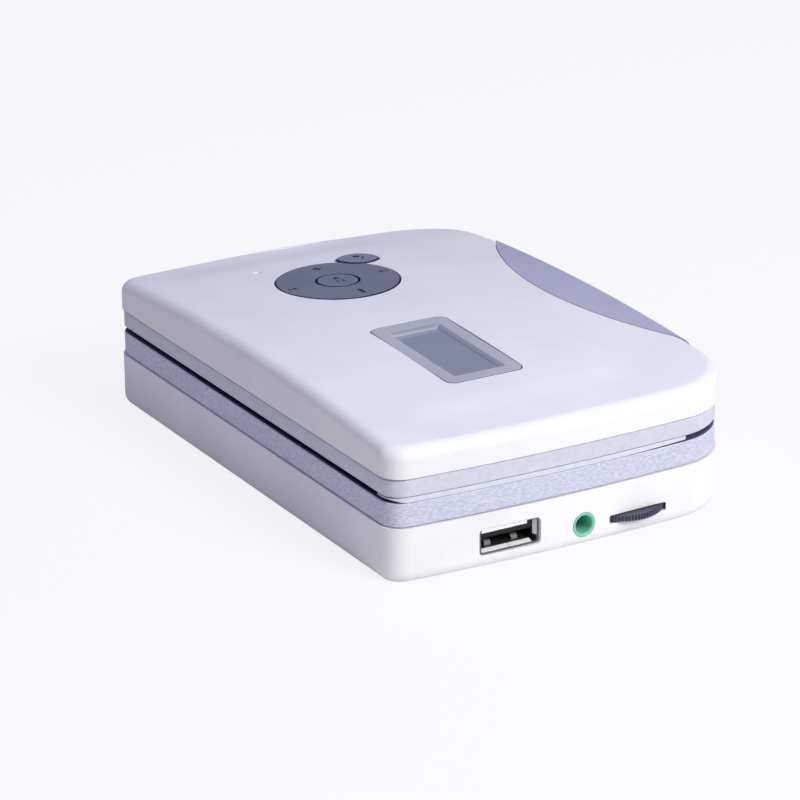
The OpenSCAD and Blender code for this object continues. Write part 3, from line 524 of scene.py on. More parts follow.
# Darker copy of the socket's plating: painted shade on the springs deep in the socket
SHADED_TIN = moulded("tin with painted shade", (0.26, 0.26, 0.325), (0.36, 0.36, 0.44), (0.34, 0.48), grain=1500)
WHEEL = moulded("wheel plastic", (0.05, 0.055, 0.095), (0.07, 0.075, 0.125), (0.4, 0.55))
TRAY = moulded("dark tray", (0.050, 0.048, 0.105), (0.065, 0.062, 0.13), (0.35, 0.5), depth=0.006 * MM)
LINER = moulded("grey liner", (0.26, 0.26, 0.29), (0.31, 0.31, 0.34), (0.5, 0.62), depth=0.02 * MM)
BOARD = moulded("green laminate", (0.012, 0.09, 0.045), (0.02, 0.13, 0.06), (0.25, 0.4), grain=1200)
BLACK = moulded("black plastic", (0.008, 0.007, 0.008), (0.014, 0.012, 0.014), (0.45, 0.6), gloss=0.3)
RUBBER = moulded("black rubber", (0.012, 0.012, 0.014), (0.02, 0.02, 0.022), (0.7, 0.85))
NYLON = moulded("natural nylon", (0.66, 0.63, 0.55), (0.74, 0.71, 0.63), (0.4, 0.52))

NODE_MATERIALS = {
    "white_case": WHITE, "silver_band": UPPER_BAND, "grip_silver": CRESCENT, "slate_key": SLATE,
    "window_frame": SURROUND, "window_tint": GLASS, "pilot_light": LENS, "dark_deck": TRAY,
    "liner_plastic": LINER, "circuit_board": BOARD, "black_plastic": BLACK, "steel": STEEL,
    "brass": BRASS, "jack_green": GREEN, "wheel_grey": WHEEL, "rubber_black": RUBBER,
    "gear_plastic": NYLON,
}
for part in frame["record"]["subparts"]:
    skin = frame["nodes"][part["node"]].data.materials
    skin.clear()
    skin.append(NODE_MATERIALS[part["material_slot"]])


# Case

def level_edges(bm, z):
    return [e for e in bm.edges if all(abs(v.co.z - z) < LEVEL for v in e.verts)]


def flat_face(bm, z):
    """Widest level face at that height."""
    level = [f for f in bm.faces if all(abs(v.co.z - z) < LEVEL for v in f.verts)]
    return max(level, key=lambda f: f.calc_area())


def case_bottom():
    """Tray of the case: rounded foot, floor, screw bosses and the openings of the three ports."""
    bm = bmesh.new()
    raise_face(bm, plan_face(bm, 0, -FOOT_CUT), (0, 0, Z_BASE + FOOT_CUT))
    close_up(bm)
    soften(bm, level_edges(bm, -FOOT_CUT), FOOT_EDGE, segments=8)
    bmesh.ops.bisect_plane(bm, geom=bm.verts[:] + bm.edges[:] + bm.faces[:], plane_co=(0, 0, 0), plane_no=UP,
                           clear_inner=True)
    close_up(bm)
    mouth = flat_face(bm, Z_BASE)
    bmesh.ops.inset_region(bm, faces=[mouth], thickness=BASE_WALL, use_even_offset=True)
    raise_face(bm, mouth, (0, 0, BASE_FLOOR - Z_BASE))
    close_up(bm)
    shell = object_from(bm, "case_bottom")
    combine(shell, [screw_posts(BOSS_R, BASE_FLOOR / 2, BOSS_TOP)], "UNION")
    usb_mid = sum(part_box("usb_shell"), Vector()).z / 2
    slot_mid = sum(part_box("volume_wheel"), Vector()) / 2
    slot_w = 2 * math.sqrt(WHEEL_SLOT_R ** 2 - (slot_mid.y - front_y(slot_mid.x)) ** 2)
    usb_w, usb_h = USB_W + 2 * USB_RIM, USB_H + 2 * USB_RIM
    combine(shell, [
        screw_posts(SCREW_HEAD_R, -MM, SCREW_SEAT),
        screw_posts(SCREW_R, -MM, Z_BASE),
        opening_cutter("usb_hole", lambda b: rounded_face(b, usb_w, usb_h, r=0.9 * MM),
                       on_front(USB_AT, usb_mid), depth=2 * BASE_WALL, flare=0.25 * MM),
        opening_cutter("jack_hole", lambda b: round_face(b, JACK_R + SEAT),
                       on_front(*JACK_AT), depth=2 * BASE_WALL, flare=0.15 * MM),
        opening_cutter("slot_mouth", lambda b: rounded_face(b, slot_w, WHEEL_SLOT_H, r=0.3 * MM),
                       on_front(slot_mid.x, slot_mid.z), depth=BASE_WALL, flare=0.2 * MM),
        slot_scoop(slot_mid, slot_w, WHEEL_SLOT_H - 2 * SEAT),
        disc("slot_room", WHEEL_SLOT_R, WHEEL_SLOT_H - SEAT, slot_mid),
    ], "DIFFERENCE")
    return finish_piece(shell, "base", WHITE, ["base_shell"])


def slot_scoop(middle, w, h):
    """Rounded end that opens the wheel's slot to the front at the right."""
    r, from_end, ahead = 0.9 * MM, 0.45 * MM, 0.15 * MM
    x = middle.x + w / 2 - from_end
    bm = bmesh.new()
    add_post(bm, r, x, front_y(x) - ahead, middle.z - h / 2, middle.z + h / 2)
    return object_from(bm, "slot_scoop")


def screw_posts(r, low, high):
    """Four upright posts where the case is screwed together."""
    bm = bmesh.new()
    for x, y in SCREWS_AT:
        add_post(bm, r, x, y, low, high)
    return object_from(bm, "screw_posts")


def add_post(bm, r, x, y, low, high, segments=48, place=Matrix()):
    middle = place @ Matrix.Translation((x, y, (low + high) / 2))
    bmesh.ops.create_cone(bm, cap_ends=True, segments=segments, radius1=r, radius2=r, depth=high - low,
                          matrix=middle)


def add_block(bm, low, high):
    size = Vector(high) - Vector(low)
    place = Matrix.Translation((Vector(low) + Vector(high)) / 2) @ Matrix.Diagonal((*size, 1))
    bmesh.ops.create_cube(bm, size=1, matrix=place)


def disc(name, r, t, middle):
    bm = bmesh.new()
    add_post(bm, r, middle.x, middle.y, middle.z - t / 2, middle.z + t / 2, segments=180)
    return object_from(bm, name)


def lid_form(inset, low, wall=0, shoulder=SHOULDER):
    """Lid before it is crowned: raised from the plan, round-shouldered, and hollow if it has a wall."""
    bm = bmesh.new()
    raise_face(bm, plan_face(bm, inset, low), (0, 0, CASE_H - inset - low))
    close_up(bm)
    soften(bm, level_edges(bm, CASE_H - inset), shoulder - inset, segments=10)
    if wall:
        mouth = flat_face(bm, low)
        bmesh.ops.inset_region(bm, faces=[mouth], thickness=wall, use_even_offset=True)
        raise_face(bm, mouth, (0, 0, CASE_H - wall - low))
    close_up(bm)
    return bm


def grip_column(name, r, low):
    """Column whose side is the crescent's inner edge, level at its foot once the lid is crowned."""
    bm = bmesh.new()
    add_post(bm, r, *GRIP_AT, low, CASE_H + 2 * CUT_OVER, segments=400)
    slice_along_y(bm)
    bend_to_crown(bm, -1)
    close_up(bm)
    return object_from(bm, name)


def lid_hole(name, draw, at, flare, turn=0.0):
    """Cutter for an opening in the lid before it is crowned."""
    place = Matrix.Translation((*at, CASE_H)) @ Matrix.Rotation(turn, 4, "Z")
    return opening_cutter(name, draw, place, 2 * LID_WALL, flare)


def case_lid():
    """White lid, cut while it is flat, then crowned and given its inner supports and latch."""
    lid = object_from(lid_form(0, Z_LID, LID_WALL), "case_lid")
    recess = grip_column("grip_recess", GRIP_R, GRIP_LOW)
    recess_floor = object_from(lid_form(GRIP_SINK + GRIP_T + SEAT, Z_LID - MM), "recess_floor")
    combine(recess, [recess_floor], "DIFFERENCE")
    window_w, window_l = WINDOW_W + 2 * WINDOW_SEAM, WINDOW_L + 2 * WINDOW_SEAM
    combine(lid, [
        lid_hole("dial_hole", lambda b: round_face(b, DIAL_R + KEY_GAP, segments=160), DIAL_AT, KEY_FLARE),
        lid_hole("small_hole", small_outline(KEY_GAP), beside_dial(SMALL_AT), KEY_FLARE, SMALL_TURN),
        lid_hole("window_hole", lambda b: rounded_face(b, window_w, window_l, WINDOW_CORNER + SEAT),
                 WINDOW_AT, FINE_FLARE),
        lid_hole("pilot_hole", lambda b: round_face(b, LED_R + SEAT, segments=48),
                 beside_dial(LED_AT), FINE_FLARE),
        recess,
    ], "DIFFERENCE")
    reshape(lid, slice_along_y, raise_plateau, bend_to_crown, close_up)
    combine(lid, [lid_supports(), latch_tab()], "UNION")
    return finish_piece(lid, "lid", WHITE, ["lid_shell"])


def raise_plateau(bm):
    """Low soft-edged plateau on the lid's top, which also falls away to the back corner on the grip side."""
    lines = 6
    for line, axis in [(x, 0) for x in PLATEAU_X] + [(y, 1) for y in PLATEAU_Y]:
        normal = Vector((1 - axis, axis, 0))
        for k in range(-lines, lines + 1):
            at = normal * (line + k * PLATEAU_EDGE / (2 * lines))
            bmesh.ops.bisect_plane(bm, geom=bm.verts[:] + bm.edges[:] + bm.faces[:], dist=MERGE, plane_co=at,
                                   plane_no=normal)
    for v in bm.verts:
        high = (v.co.z - CASE_H) / SHOULDER + 1
        if high > 0:
            inside = soft_step(v.co.x, PLATEAU_X) * soft_step(v.co.y, PLATEAU_Y)
            corner = ease(v.co.x, *BACK_CORNER_X) * ease(v.co.y, *BACK_CORNER_Y)
            v.co.z += high * (PLATEAU_RISE * inside - PLATEAU_DROP - BACK_CORNER_DROP * corner)


def ease(at, start, end):
    """Goes smoothly from 0 at start to 1 at end."""
    t = min(max((at - start) / (end - start), 0), 1)
    return t * t * (3 - 2 * t)


def soft_step(at, ends):
    """1 between the two ends and 0 outside, with soft flanks."""
    half = PLATEAU_EDGE / 2
    return ease(at, ends[0] - half, ends[0] + half) * (1 - ease(at, ends[1] - half, ends[1] + half))


def lid_supports():
    """Inside the lid: hinge arm seats, liner posts and the pillars of the key board."""
    seat_x, seat_y, seat_z = (-33.8 * MM, -30.3 * MM), 52.4 * MM, (24.5 * MM, 26.77 * MM)
    seat_half = MM
    post_x, post_y, post_z = 31 * MM, 44 * MM, (25.6 * MM, 27.46 * MM)
    post_r = 2.2 * MM
    pillar_x, pillar_y = (-12.5 * MM, 15.5 * MM), (-13.5 * MM, 16.5 * MM)
    pillar_z = (-2.2 * MM, -0.9 * MM)
    pillar_r = 1.2 * MM
    bm = bmesh.new()
    for side in (-1, 1):
        y = seat_y * side
        add_block(bm, (seat_x[0], y - seat_half, seat_z[0]), (seat_x[1], y + seat_half, seat_z[1]))
        for x in (-post_x, post_x):
            add_post(bm, post_r, x, post_y * side, *post_z)
    for x in pillar_x:
        for y in pillar_y:
            add_post(bm, pillar_r, x, y, *pillar_z, place=ON_DIAL)
    return object_from(bm, "lid_supports")


def latch_tab():
    """Tab that hangs from the lid's wall on the grip side, drawn on edge."""
    inner, outer, wall = 35.8 * MM, 37 * MM, 39.1 * MM
    tip, step, painted_top_shade = 13.95 * MM, 22.15 * MM, 24.35 * MM
    width, back = 8 * MM, -28 * MM
    bm = bmesh.new()
    pen = first = bm.verts.new((inner, tip, 0))
    for x, y in ((outer, tip), (outer, step), (wall, step), (wall, painted_top_shade), (inner, painted_top_shade)):
        pen = line_to(bm, pen, x, y)
    line_to(bm, pen, first.co.x, first.co.y)
    raise_face(bm, fill_loop(bm), (0, 0, width))
    upright = Matrix.Translation((0, back, 0)) @ Matrix.Rotation(math.radians(90), 4, "X")
    bmesh.ops.transform(bm, matrix=upright, verts=bm.verts[:])
    close_up(bm)
    return object_from(bm, "latch_tab")


def ring_of(bm, face, wall, by):
    """Turns one face into a ring of that wall and extrudes it."""
    inset = bmesh.ops.inset_region(bm, faces=[face], thickness=wall, use_boundary=True, use_even_offset=True)
    ring = inset["faces"]
    bmesh.ops.delete(bm, geom=[face], context="FACES_ONLY")
    made = bmesh.ops.extrude_face_region(bm, geom=ring)["geom"]
    bmesh.ops.translate(bm, vec=by, verts=[v for v in made if isinstance(v, bmesh.types.BMVert)])
    close_up(bm)


def silver_band(name, body, node, finish, foot, head, sides):
    """Band with rounded edges, and narrow seams at its foot and at its head, which is lower at the sides."""
    low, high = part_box(node)
    hinge_side, grip_side = (-39 * MM, -34 * MM), (18 * MM, 34 * MM)
    bm = bmesh.new()
    ring_of(bm, plan_face(bm, BAND_INSET, low.z + foot), BAND_WALL, (0, 0, high.z - low.z - foot - head))
    for v in bm.verts:
        if v.co.z > (low.z + high.z) / 2:
            v.co.z -= sides * (1 - ease(v.co.x, *hinge_side) + ease(v.co.x, *grip_side))
    soften(bm, sharp_edges(bm, 60), width=0.28 * MM, segments=4)
    return finish_piece(object_from(bm, name), body, finish, [node])


def gap_strip():
    """Silvered lip of the tray in the slit along the front, slim where it comes round the hinge corner,
    lighter than the bands as a painted highlight.
    """
    clear, set_back, rise = 0.12 * MM, 0.2 * MM, 0.9 * MM
    low, high = Z_LOW + SEAT, Z_GAP - clear
    start_y, end_x = -52 * MM, 26 * MM
    slim = (-39.6 * MM, -36 * MM)
    rising = (8 * MM, 2 * end_x)
    less_below, less_above = 0.65, 0.2
    bm = bmesh.new()
    ring_of(bm, plan_face(bm, BAND_INSET + set_back, low), BAND_WALL, (0, 0, high - low))
    for at, normal in (((0, start_y, 0), (0, 1, 0)), ((end_x, 0, 0), (1, 0, 0))):
        bmesh.ops.bisect_plane(bm, geom=bm.verts[:] + bm.edges[:] + bm.faces[:], plane_co=at, plane_no=normal,
                               clear_outer=True)
    close_up(bm)
    for v in bm.verts:
        thin = 1 - ease(v.co.x, *slim)
        if v.co.z < low + LEVEL:
            v.co.z += less_below * (high - low) * thin + rise * ease(v.co.x, *rising)
        else:
            v.co.z -= less_above * (high - low) * thin
    return finish_piece(object_from(bm, "gap_strip"), "base", HIGHLIT_LIP)


def grip_crescent():
    """Inlay along the grip side: the layer between two skins of the lid, inside the crescent's edge."""
    inlay = grip_column("grip_crescent", GRIP_R - GRIP_SEAM, GRIP_LOW + SEAT)
    outer_skin = object_from(lid_form(GRIP_SINK, Z_LID - MM, shoulder=GRIP_SHOULDER), "outer_skin")
    combine(inlay, [outer_skin], "INTERSECT")
    inner_skin = object_from(lid_form(GRIP_SINK + GRIP_T, Z_LID - 2 * MM), "inner_skin")
    combine(inlay, [inner_skin], "DIFFERENCE")
    reshape(inlay, slice_along_y, bend_to_crown, close_up)
    return finish_piece(inlay, "lid", CRESCENT, ["grip_inlay"])


# Keys

def small_outline(margin):
    return lambda b: oval_face(b, SMALL_W + 2 * margin, SMALL_L + 2 * margin)


def dial_ring():
    """Key dial: a section spun into a ring, with a notch for the small key."""
    low, high = DIAL_PROUD - DIAL_T, DIAL_PROUD
    bm = bmesh.new()
    pen = first = bm.verts.new((MIDDLE_R + KEY_GAP, low, 0))
    for x, y in ((DIAL_R, low), (DIAL_R, high), (MIDDLE_R + KEY_GAP, high)):
        pen = line_to(bm, pen, x, y)
    bm.edges.new((pen, first))
    bmesh.ops.spin(bm, geom=bm.verts[:] + bm.edges[:], cent=(0, 0, 0), axis=(0, 1, 0), angle=math.tau,
                   steps=160, use_merge=True)
    bmesh.ops.rotate(bm, cent=(0, 0, 0), matrix=Matrix.Rotation(math.radians(90), 3, "X"), verts=bm.verts[:])
    close_up(bm)
    rims = [e for e in level_edges(bm, high) if e.calc_face_angle(0) > math.radians(60)]
    soften(bm, rims, width=0.15 * MM)
    bmesh.ops.transform(bm, matrix=ON_DIAL, verts=bm.verts[:])
    ring = object_from(bm, "dial_ring")
    place = SMALL_PLACE @ Matrix.Translation((0, 0, high))
    notch = opening_cutter("small_notch", small_outline(KEY_GAP), place, depth=3 * MM, flare=KEY_FLARE)
    combine(ring, [notch], "DIFFERENCE")
    return finish_piece(ring, "dial", SLATE, ["ring_key"])


def key_cap(name, body, node, draw, place, high, edge, plastic):
    """Key with a rounded upper rim."""
    bm = bmesh.new()
    face = draw(bm)
    bmesh.ops.translate(bm, vec=(0, 0, KEY_LOW), verts=bm.verts[:])
    raise_face(bm, face, (0, 0, high - KEY_LOW))
    close_up(bm)
    soften(bm, level_edges(bm, high), edge, segments=5)
    bmesh.ops.transform(bm, matrix=place, verts=bm.verts[:])
    close_up(bm)
    return finish_piece(object_from(bm, name), body, plastic, [node])


def pilot_lens():
    """Small domed lens in its hole."""
    place = ON_DIAL @ Matrix.Translation((*LED_AT, 0))
    low, high = -2 * MM, -0.12 * MM
    bm = bmesh.new()
    face = round_face(bm, LED_R, low, segments=40)
    raise_face(bm, face, (0, 0, high - low))
    close_up(bm)
    soften(bm, level_edges(bm, high), width=0.3 * MM, segments=5)
    bmesh.ops.transform(bm, matrix=place, verts=bm.verts[:])
    close_up(bm)
    return finish_piece(object_from(bm, "pilot_lens"), "lid", LENS, ["led_lens"])


# Window

def window_surround():
    """Frame plate with the view cut out, nearer to one end."""
    place = on_crown(*WINDOW_AT)
    bm = bmesh.new()
    face = rounded_face(bm, WINDOW_W - WINDOW_SEAM, WINDOW_L - WINDOW_SEAM, WINDOW_CORNER,
                        FRAME_PROUD - FRAME_T)
    raise_face(bm, face, (0, 0, FRAME_T))
    close_up(bm)
    soften(bm, level_edges(bm, FRAME_PROUD), width=0.12 * MM)
    bmesh.ops.transform(bm, matrix=place, verts=bm.verts[:])
    close_up(bm)
    plate = object_from(bm, "window_surround")
    w, l = WINDOW_W - 2 * WINDOW_BORDER, WINDOW_L - WINDOW_BORDER - WINDOW_FAR
    place = place @ Matrix.Translation((0, (WINDOW_BORDER - WINDOW_FAR) / 2, FRAME_PROUD))
    combine(plate, [view_cutter(w, l, place)], "DIFFERENCE")
    return finish_piece(plate, "lid", SURROUND, ["window_bezel"])


def view_cutter(w, l, place):
    """Cutter for the view: wide slopes along its two sides, steep walls at its ends and at the pane."""
    draft, corner = 0.15 * MM, 0.3 * MM
    bm = bmesh.new()
    face = rounded_face(bm, w - 2 * REVEAL - 2 * draft, l - 4 * draft, corner, -FRAME_T - SEAT)
    face = raise_face(bm, face, (0, 0, FRAME_T + SEAT - REVEAL))
    grow_face(bm, face, draft)
    face = raise_face(bm, face, (0, 0, REVEAL))
    grow_face(bm, face, REVEAL, draft)
    raise_face(bm, face, (0, 0, MM))
    bmesh.ops.transform(bm, matrix=place, verts=bm.verts[:])
    close_up(bm)
    return object_from(bm, "view")


def tinted_pane():
    """Pane under the frame, which it laps behind."""
    lap, thick, corner = 1.9 * MM, 0.8 * MM, MM
    low, high = FRAME_PROUD - FRAME_T - thick, FRAME_PROUD - FRAME_T
    bm = bmesh.new()
    w, l = WINDOW_W - WINDOW_BORDER + lap, WINDOW_L - WINDOW_BORDER + lap
    raise_face(bm, rounded_face(bm, w, l, corner, low), (0, 0, high - low))
    close_up(bm)
    soften(bm, sharp_edges(bm, 60), width=0.08 * MM, segments=2)
    bmesh.ops.transform(bm, matrix=on_crown(*WINDOW_AT), verts=bm.verts[:])
    return finish_piece(object_from(bm, "tinted_pane"), "lid", GLASS, ["window_pane"])


# Ports

def facing_front(node):
    """Frame in the middle of a port's mouth, with its own Z pointing out along -Y."""
    low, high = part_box(node)
    place = Matrix.Translation(((low.x + high.x) / 2, low.y, (low.z + high.z) / 2))
    return place @ Matrix.Rotation(math.radians(90), 4, "X")


def usb_sleeve():
    """Thin metal sleeve of the socket, open at both ends, its plating darkened as painted shade of the
    socket's inside.
    """
    corner = 0.7 * MM
    bm = bmesh.new()
    ring_of(bm, rounded_face(bm, USB_W, USB_H, corner, -USB_DEPTH), USB_SKIN, (0, 0, USB_DEPTH))
    soften(bm, level_edges(bm, 0), width=0.08 * MM, segments=2)
    bmesh.ops.transform(bm, matrix=facing_front("usb_shell"), verts=bm.verts[:])
    close_up(bm)
    return finish_piece(object_from(bm, "usb_sleeve"), "base", SHADED_SLEEVE, ["usb_shell"])


def usb_lips():
    """Lips in the sleeve's mouth: two flared ones below, one at the right and a flange above, in bright tin
    as painted light where the mouth is lit.
    """
    floor, side = USB_SKIN - USB_H / 2, USB_W / 2 - USB_SKIN
    mouth, rise, depth = -0.1 * MM, 0.4 * MM, MM
    below = ((-5.9 * MM, 0.15 * MM), (0.25 * MM, 5.1 * MM))
    side_foot, side_depth = floor + 1.2 * MM, 0.9 * MM
    above, above_h, above_depth = (-6.1 * MM, 3.95 * MM), 0.45 * MM, 0.3 * MM
    bm = bmesh.new()
    for left, right in below:
        add_block(bm, (left, floor - SEAT, mouth - depth), (right, floor + rise, mouth))
    add_block(bm, (side - rise, side_foot, mouth - side_depth), (side + SEAT, -floor, mouth))
    for v in bm.verts:
        if v.co.z > mouth - SEAT and v.co.x > side - MM:
            v.co.x = max(v.co.x, side - SEAT)
        elif v.co.z > mouth - SEAT:
            v.co.y = min(v.co.y, floor + SEAT)
    add_block(bm, (above[0], -floor - above_h, mouth - above_depth), (above[1], USB_H / 2, SEAT))
    bmesh.ops.transform(bm, matrix=facing_front("usb_shell"), verts=bm.verts[:])
    close_up(bm)
    return finish_piece(object_from(bm, "usb_lips"), "base", LIT_TIN)


def usb_springs():
    """Two tongues that rise from the sleeve's lower plate and curl down at their front ends, in darker tin as
    painted shade.
    """
    floor = USB_SKIN - USB_H / 2
    apart, width, thick, sunk, root = 6 * MM, 1.4 * MM, 0.25 * MM, 0.1 * MM, -8 * MM
    # Side view in mm: place along the socket, height over the lower plate
    side_view = ((-5.9, 0.25), (-4.3, 0.72), (-3.7, 0.84), (-3.3, 0.74), (-3.08, 0.42), (-3.0, 0.12))
    bm = bmesh.new()
    for x in (-apart / 2, apart / 2):
        made = bmesh.ops.create_grid(bm, x_segments=1, y_segments=1, size=0.5)["verts"]
        strip = made[0].link_faces[0]
        for v in made:
            v.co = (x + v.co.x * width, floor - sunk + (v.co.y + 0.5) * thick, root)
        for z, y in side_view:
            step = Vector((x, floor + y * MM, z * MM)) - strip.calc_center_median()
            strip = raise_face(bm, strip, (0, step.y, step.z))
    close_up(bm)
    soften(bm, sharp_edges(bm, 60), width=0.06 * MM, segments=2)
    bmesh.ops.transform(bm, matrix=facing_front("usb_shell"), verts=bm.verts[:])
    close_up(bm)
    return finish_piece(object_from(bm, "usb_springs"), "base", SHADED_TIN)


def jack_body():
    """Green nozzle with a rounded mouth on a square body, drilled from the front."""
    place = facing_front("audio_jack")
    nozzle = 3 * MM
    half_w, half_h, front, back = 2.8 * MM, 2.5 * MM, -2.5 * MM, -14 * MM
    bm = bmesh.new()
    raise_face(bm, round_face(bm, JACK_R, -nozzle), (0, 0, nozzle))
    close_up(bm)
    soften(bm, level_edges(bm, 0), width=0.12 * MM)
    close_up(bm)
    jack = object_from(bm, "jack_body")
    bm = bmesh.new()
    add_block(bm, (-half_w, -half_h, back), (half_w, half_h, front))
    combine(jack, [object_from(bm, "jack_block")], "UNION")
    bore = opening_cutter("bore", lambda b: round_face(b, JACK_BORE), Matrix(), JACK_DEPTH,
                          flare=0.6 * MM, steps=6)
    combine(jack, [bore], "DIFFERENCE")
    reshape(jack, lambda b: bmesh.ops.transform(b, matrix=place, verts=b.verts[:]), close_up)
    return finish_piece(jack, "base", GREEN, ["audio_jack"])


def thumb_wheel():
    """Knurled wheel: every second pair of points on the rim is pressed in, and both rims are chamfered."""
    low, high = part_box("volume_wheel")
    middle = (low + high) / 2
    knurl, chamfer = 0.3 * MM, 0.15 * MM
    bore_r, bore_h = 1.56 * MM, 4 * MM
    bm = bmesh.new()
    face = round_face(bm, WHEEL_R, low.z - middle.z, segments=4 * WHEEL_KNURLS)
    for k, v in enumerate(face.verts):
        if k % 4 > 1:
            v.co.xy *= 1 - knurl / WHEEL_R
    grow_face(bm, face, -chamfer)
    face = raise_face(bm, face, (0, 0, chamfer))
    grow_face(bm, face, chamfer)
    face = raise_face(bm, face, (0, 0, high.z - low.z - 2 * chamfer))
    face = raise_face(bm, face, (0, 0, chamfer))
    grow_face(bm, face, -chamfer)
    bmesh.ops.translate(bm, vec=middle, verts=bm.verts[:])
    close_up(bm)
    wheel = object_from(bm, "thumb_wheel")
    combine(wheel, [disc("wheel_bore", bore_r, bore_h, middle)], "DIFFERENCE")
    return finish_piece(wheel, "volume_wheel", WHEEL, ["volume_wheel"], smooth=30)


# Printed marks

INK_SINK = 0.03 * MM
INK_PROUD = 0.02 * MM


def mark_bar(bm, x, y, w, l):
    add_block(bm, (x - w / 2, y - l / 2, -INK_SINK), (x + w / 2, y + l / 2, INK_PROUD))


def mark_arrow(bm, x, y, turn, size):
    """Filled triangle that points along turn."""
    flat = bmesh.new()
    bmesh.ops.create_circle(flat, cap_ends=True, radius=size, segments=3)
    turned = Matrix.Rotation(math.radians(turn - 90), 3, "Z")
    bmesh.ops.rotate(flat, cent=(0, 0, 0), matrix=turned, verts=flat.verts[:])
    bmesh.ops.translate(flat, vec=(x, y, -INK_SINK), verts=flat.verts[:])
    flat.faces.ensure_lookup_table()
    raise_face(flat, flat.faces[0], (0, 0, INK_SINK + INK_PROUD))
    close_up(flat)
    mesh = bpy.data.meshes.new("arrow")
    flat.to_mesh(mesh)
    flat.free()
    bm.from_mesh(mesh)
    bpy.data.meshes.remove(mesh)


def print_marks(name, body, place, draw):
    bm = bmesh.new()
    draw(bm)
    bmesh.ops.transform(bm, matrix=place, verts=bm.verts[:])
    bmesh.ops.recalc_face_normals(bm, faces=bm.faces[:])
    return finish_piece(object_from(bm, name), body, PRINT)


def plus_sign(bm, x, y):
    """Plus drawn as one long bar with a short one at each side."""
    mark_bar(bm, x, y, w=0.55 * MM, l=2.1 * MM)
    for side in (-1, 1):
        mark_bar(bm, x + side * 0.65 * MM, y, w=0.75 * MM, l=0.55 * MM)


def skip_sign(bm, x, y, side):
    """Arrow to one side with a bar at its tip."""
    mark_arrow(bm, x, y, turn=90 - 90 * side, size=0.85 * MM)
    mark_bar(bm, x + side * 1.2 * MM, y, w=0.35 * MM, l=1.4 * MM)


def dial_signs(bm):
    """Minus in front, plus behind, skip arrows at both sides."""
    mark_bar(bm, 0.4 * MM, -9.5 * MM, w=0.9 * MM, l=2.8 * MM)
    plus_sign(bm, 0.35 * MM, 9.6 * MM)
    skip_sign(bm, -10.3 * MM, -0.3 * MM, side=-1)
    skip_sign(bm, 10.6 * MM, 0.2 * MM, side=1)


def middle_signs(bm):
    """Play arrow and pause bars."""
    mark_arrow(bm, 0.3 * MM, 1.3 * MM, turn=90, size=1.0 * MM)
    for x in (-0.4 * MM, 0.8 * MM):
        mark_bar(bm, x, -0.9 * MM, w=0.4 * MM, l=1.5 * MM)


def small_signs(bm):
    """Square and bar."""
    mark_bar(bm, -0.25 * MM, 0.9 * MM, w=1.4 * MM, l=1.2 * MM)
    mark_bar(bm, 1.1 * MM, -0.1 * MM, w=0.4 * MM, l=1.4 * MM)


# All pieces

case_bottom()
silver_band("lower_band", "base", "base_trim", LOWER_BAND, foot=0.14 * MM, head=0, sides=0)
silver_band("upper_band", "lid", "lid_trim", UPPER_BAND, foot=0, head=0.2 * MM, sides=0.25 * MM)
gap_strip()
case_lid()
grip_crescent()
dial_ring()
key_cap("middle_key", "centre_key", "centre_key", lambda b: round_face(b, MIDDLE_R - MIDDLE_GROOVE), ON_DIAL,
        MIDDLE_PROUD, edge=0.12 * MM, plastic=SLATE)
key_cap("small_key", "mode_key", "mode_key", small_outline(0), SMALL_PLACE,
        SMALL_PROUD, edge=0.2 * MM, plastic=PALE_SLATE)
pilot_lens()
window_surround()
tinted_pane()
usb_sleeve()
usb_lips()
usb_springs()
jack_body()
thumb_wheel()
print_marks("dial_marks", "dial", ON_DIAL @ Matrix.Translation((0, 0, DIAL_PROUD)), dial_signs)
print_marks("middle_marks", "centre_key", ON_DIAL @ Matrix.Translation((0, 0, MIDDLE_PROUD)), middle_signs)
print_marks("small_marks", "mode_key", SMALL_PLACE @ Matrix.Translation((0, 0, SMALL_PROUD)), small_signs)


# Floor, light and camera

BACKGROUND = (0.930, 0.922, 0.965)
SKY = (1.0, 0.785, 0.775)
SKY_POWER = 0.158
FLOOR_MATTE = (0.9, 0.9, 0.92)
FLOOR_GLOW = (0.965, 0.957, 0.982)
FLOOR_PLAIN = 0.88
FLOOR_DROP = 0.02 * MM
LIT_POINT = Vector((0, 0, 0.015))


def pale_floor():
    """Diffuse floor that the camera sees mostly as the plain background, with a faint shadow left on it."""
    bm = bmesh.new()
    bmesh.ops.create_grid(bm, x_segments=1, y_segments=1, size=3)
    bmesh.ops.translate(bm, vec=(0, 0, -FLOOR_DROP), verts=bm.verts[:])
    floor = object_from(bm, "floor")
    material = bpy.data.materials.new("pale floor")
    material.use_nodes = True
    nodes, links = material.node_tree.nodes, material.node_tree.links
    nodes.remove(nodes["Principled BSDF"])
    matte = nodes.new("ShaderNodeBsdfDiffuse")
    matte.inputs["Color"].default_value = (*FLOOR_MATTE, 1)
    plain = nodes.new("ShaderNodeEmission")
    plain.inputs["Color"].default_value = (*FLOOR_GLOW, 1)
    path = nodes.new("ShaderNodeLightPath")
    seen = nodes.new("ShaderNodeMath")
    seen.operation = "MULTIPLY"
    seen.inputs[1].default_value = FLOOR_PLAIN
    blend = nodes.new("ShaderNodeMixShader")
    links.new(path.outputs["Is Camera Ray"], seen.inputs[0])
    links.new(seen.outputs["Value"], blend.inputs["Fac"])
    links.new(matte.outputs["BSDF"], blend.inputs[1])
    links.new(plain.outputs["Emission"], blend.inputs[2])
    links.new(blend.outputs["Shader"], nodes["Material Output"].inputs["Surface"])
    floor.data.materials.append(material)


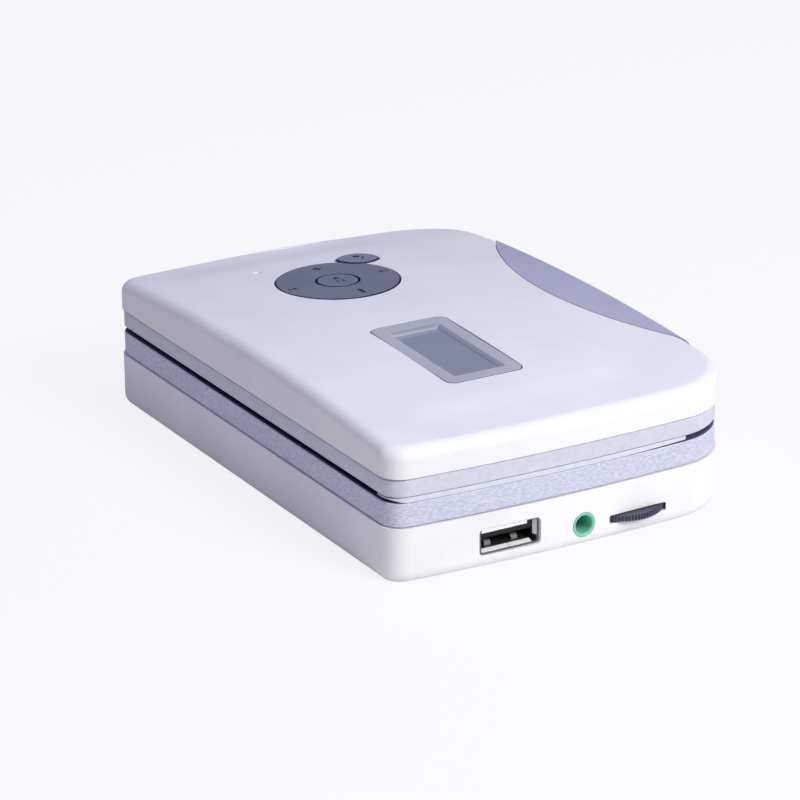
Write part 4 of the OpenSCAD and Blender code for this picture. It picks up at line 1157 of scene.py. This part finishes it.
def soft_world():
    """Weak warm sky, which the camera sees as the plain background."""
    world = bpy.data.worlds.new("soft world")
    bpy.context.scene.world = world
    world.use_nodes = True
    nodes, links = world.node_tree.nodes, world.node_tree.links
    sky = nodes["Background"]
    sky.inputs["Color"].default_value = (*SKY, 1)
    sky.inputs["Strength"].default_value = SKY_POWER
    plain = nodes.new("ShaderNodeBackground")
    plain.inputs["Color"].default_value = (*BACKGROUND, 1)
    path = nodes.new("ShaderNodeLightPath")
    blend = nodes.new("ShaderNodeMixShader")
    links.new(path.outputs["Is Camera Ray"], blend.inputs["Fac"])
    links.new(sky.outputs["Background"], blend.inputs[1])
    links.new(plain.outputs["Background"], blend.inputs[2])
    links.new(blend.outputs["Shader"], nodes["World Output"].inputs["Surface"])


def soft_lamp(name, at, size, power, colour):
    """Round lamp that shines on the middle of the case."""
    lamp = bpy.data.lights.new(name, "AREA")
    lamp.shape = "DISK"
    lamp.size = size
    lamp.energy = power
    lamp.color = colour
    holder = bpy.data.objects.new(name, lamp)
    holder.location = at
    holder.rotation_euler = (LIT_POINT - Vector(at)).to_track_quat("-Z", "Y").to_euler()
    bpy.context.scene.collection.objects.link(holder)


def place_camera():
    """Camera found from the photo: turned, tipped and rolled about the middle of the case."""
    turn, tip, roll = math.radians(-30.03), math.radians(21.004), math.radians(-0.403)
    distance, shift_across, shift_up = 758.717 * MM, -3.805 * MM, 10.075 * MM
    back = Vector((math.sin(turn) * math.cos(tip), -math.cos(turn) * math.cos(tip), math.sin(tip)))
    right = Vector((math.cos(turn), math.sin(turn), 0))
    above = back.cross(right)
    across = math.cos(roll) * right + math.sin(roll) * above
    upward = math.cos(roll) * above - math.sin(roll) * right
    at = back * distance + across * shift_across + upward * shift_up
    lens = bpy.data.cameras.new("camera")
    lens.sensor_width = 36
    lens.lens = 166.575
    camera = bpy.data.objects.new("camera", lens)
    turned = Matrix((across, upward, back)).transposed().to_4x4()
    camera.matrix_world = Matrix.Translation(at) @ turned
    bpy.context.scene.collection.objects.link(camera)
    bpy.context.scene.camera = camera


pale_floor()
soft_world()
soft_lamp("front lamp", (0.235, -0.715, 0.58), size=0.43, power=7.05, colour=(0.985, 0.985, 0.885))
soft_lamp("top lamp", (0, 0, 1.2), size=1.0, power=7, colour=(0.48, 0.59, 1.0))
soft_lamp("side lamp", (1.2, -0.2, 0.4), size=0.5, power=1.5, colour=(1.0, 1.0, 1.0))
soft_lamp("fill lamp", (-1.0, -0.25, 0.3), size=0.6, power=0.62, colour=(1.0, 0.9, 0.74))
place_camera()
bpy.context.scene.view_settings.view_transform = "Standard"

bpy.context.view_layer.update()
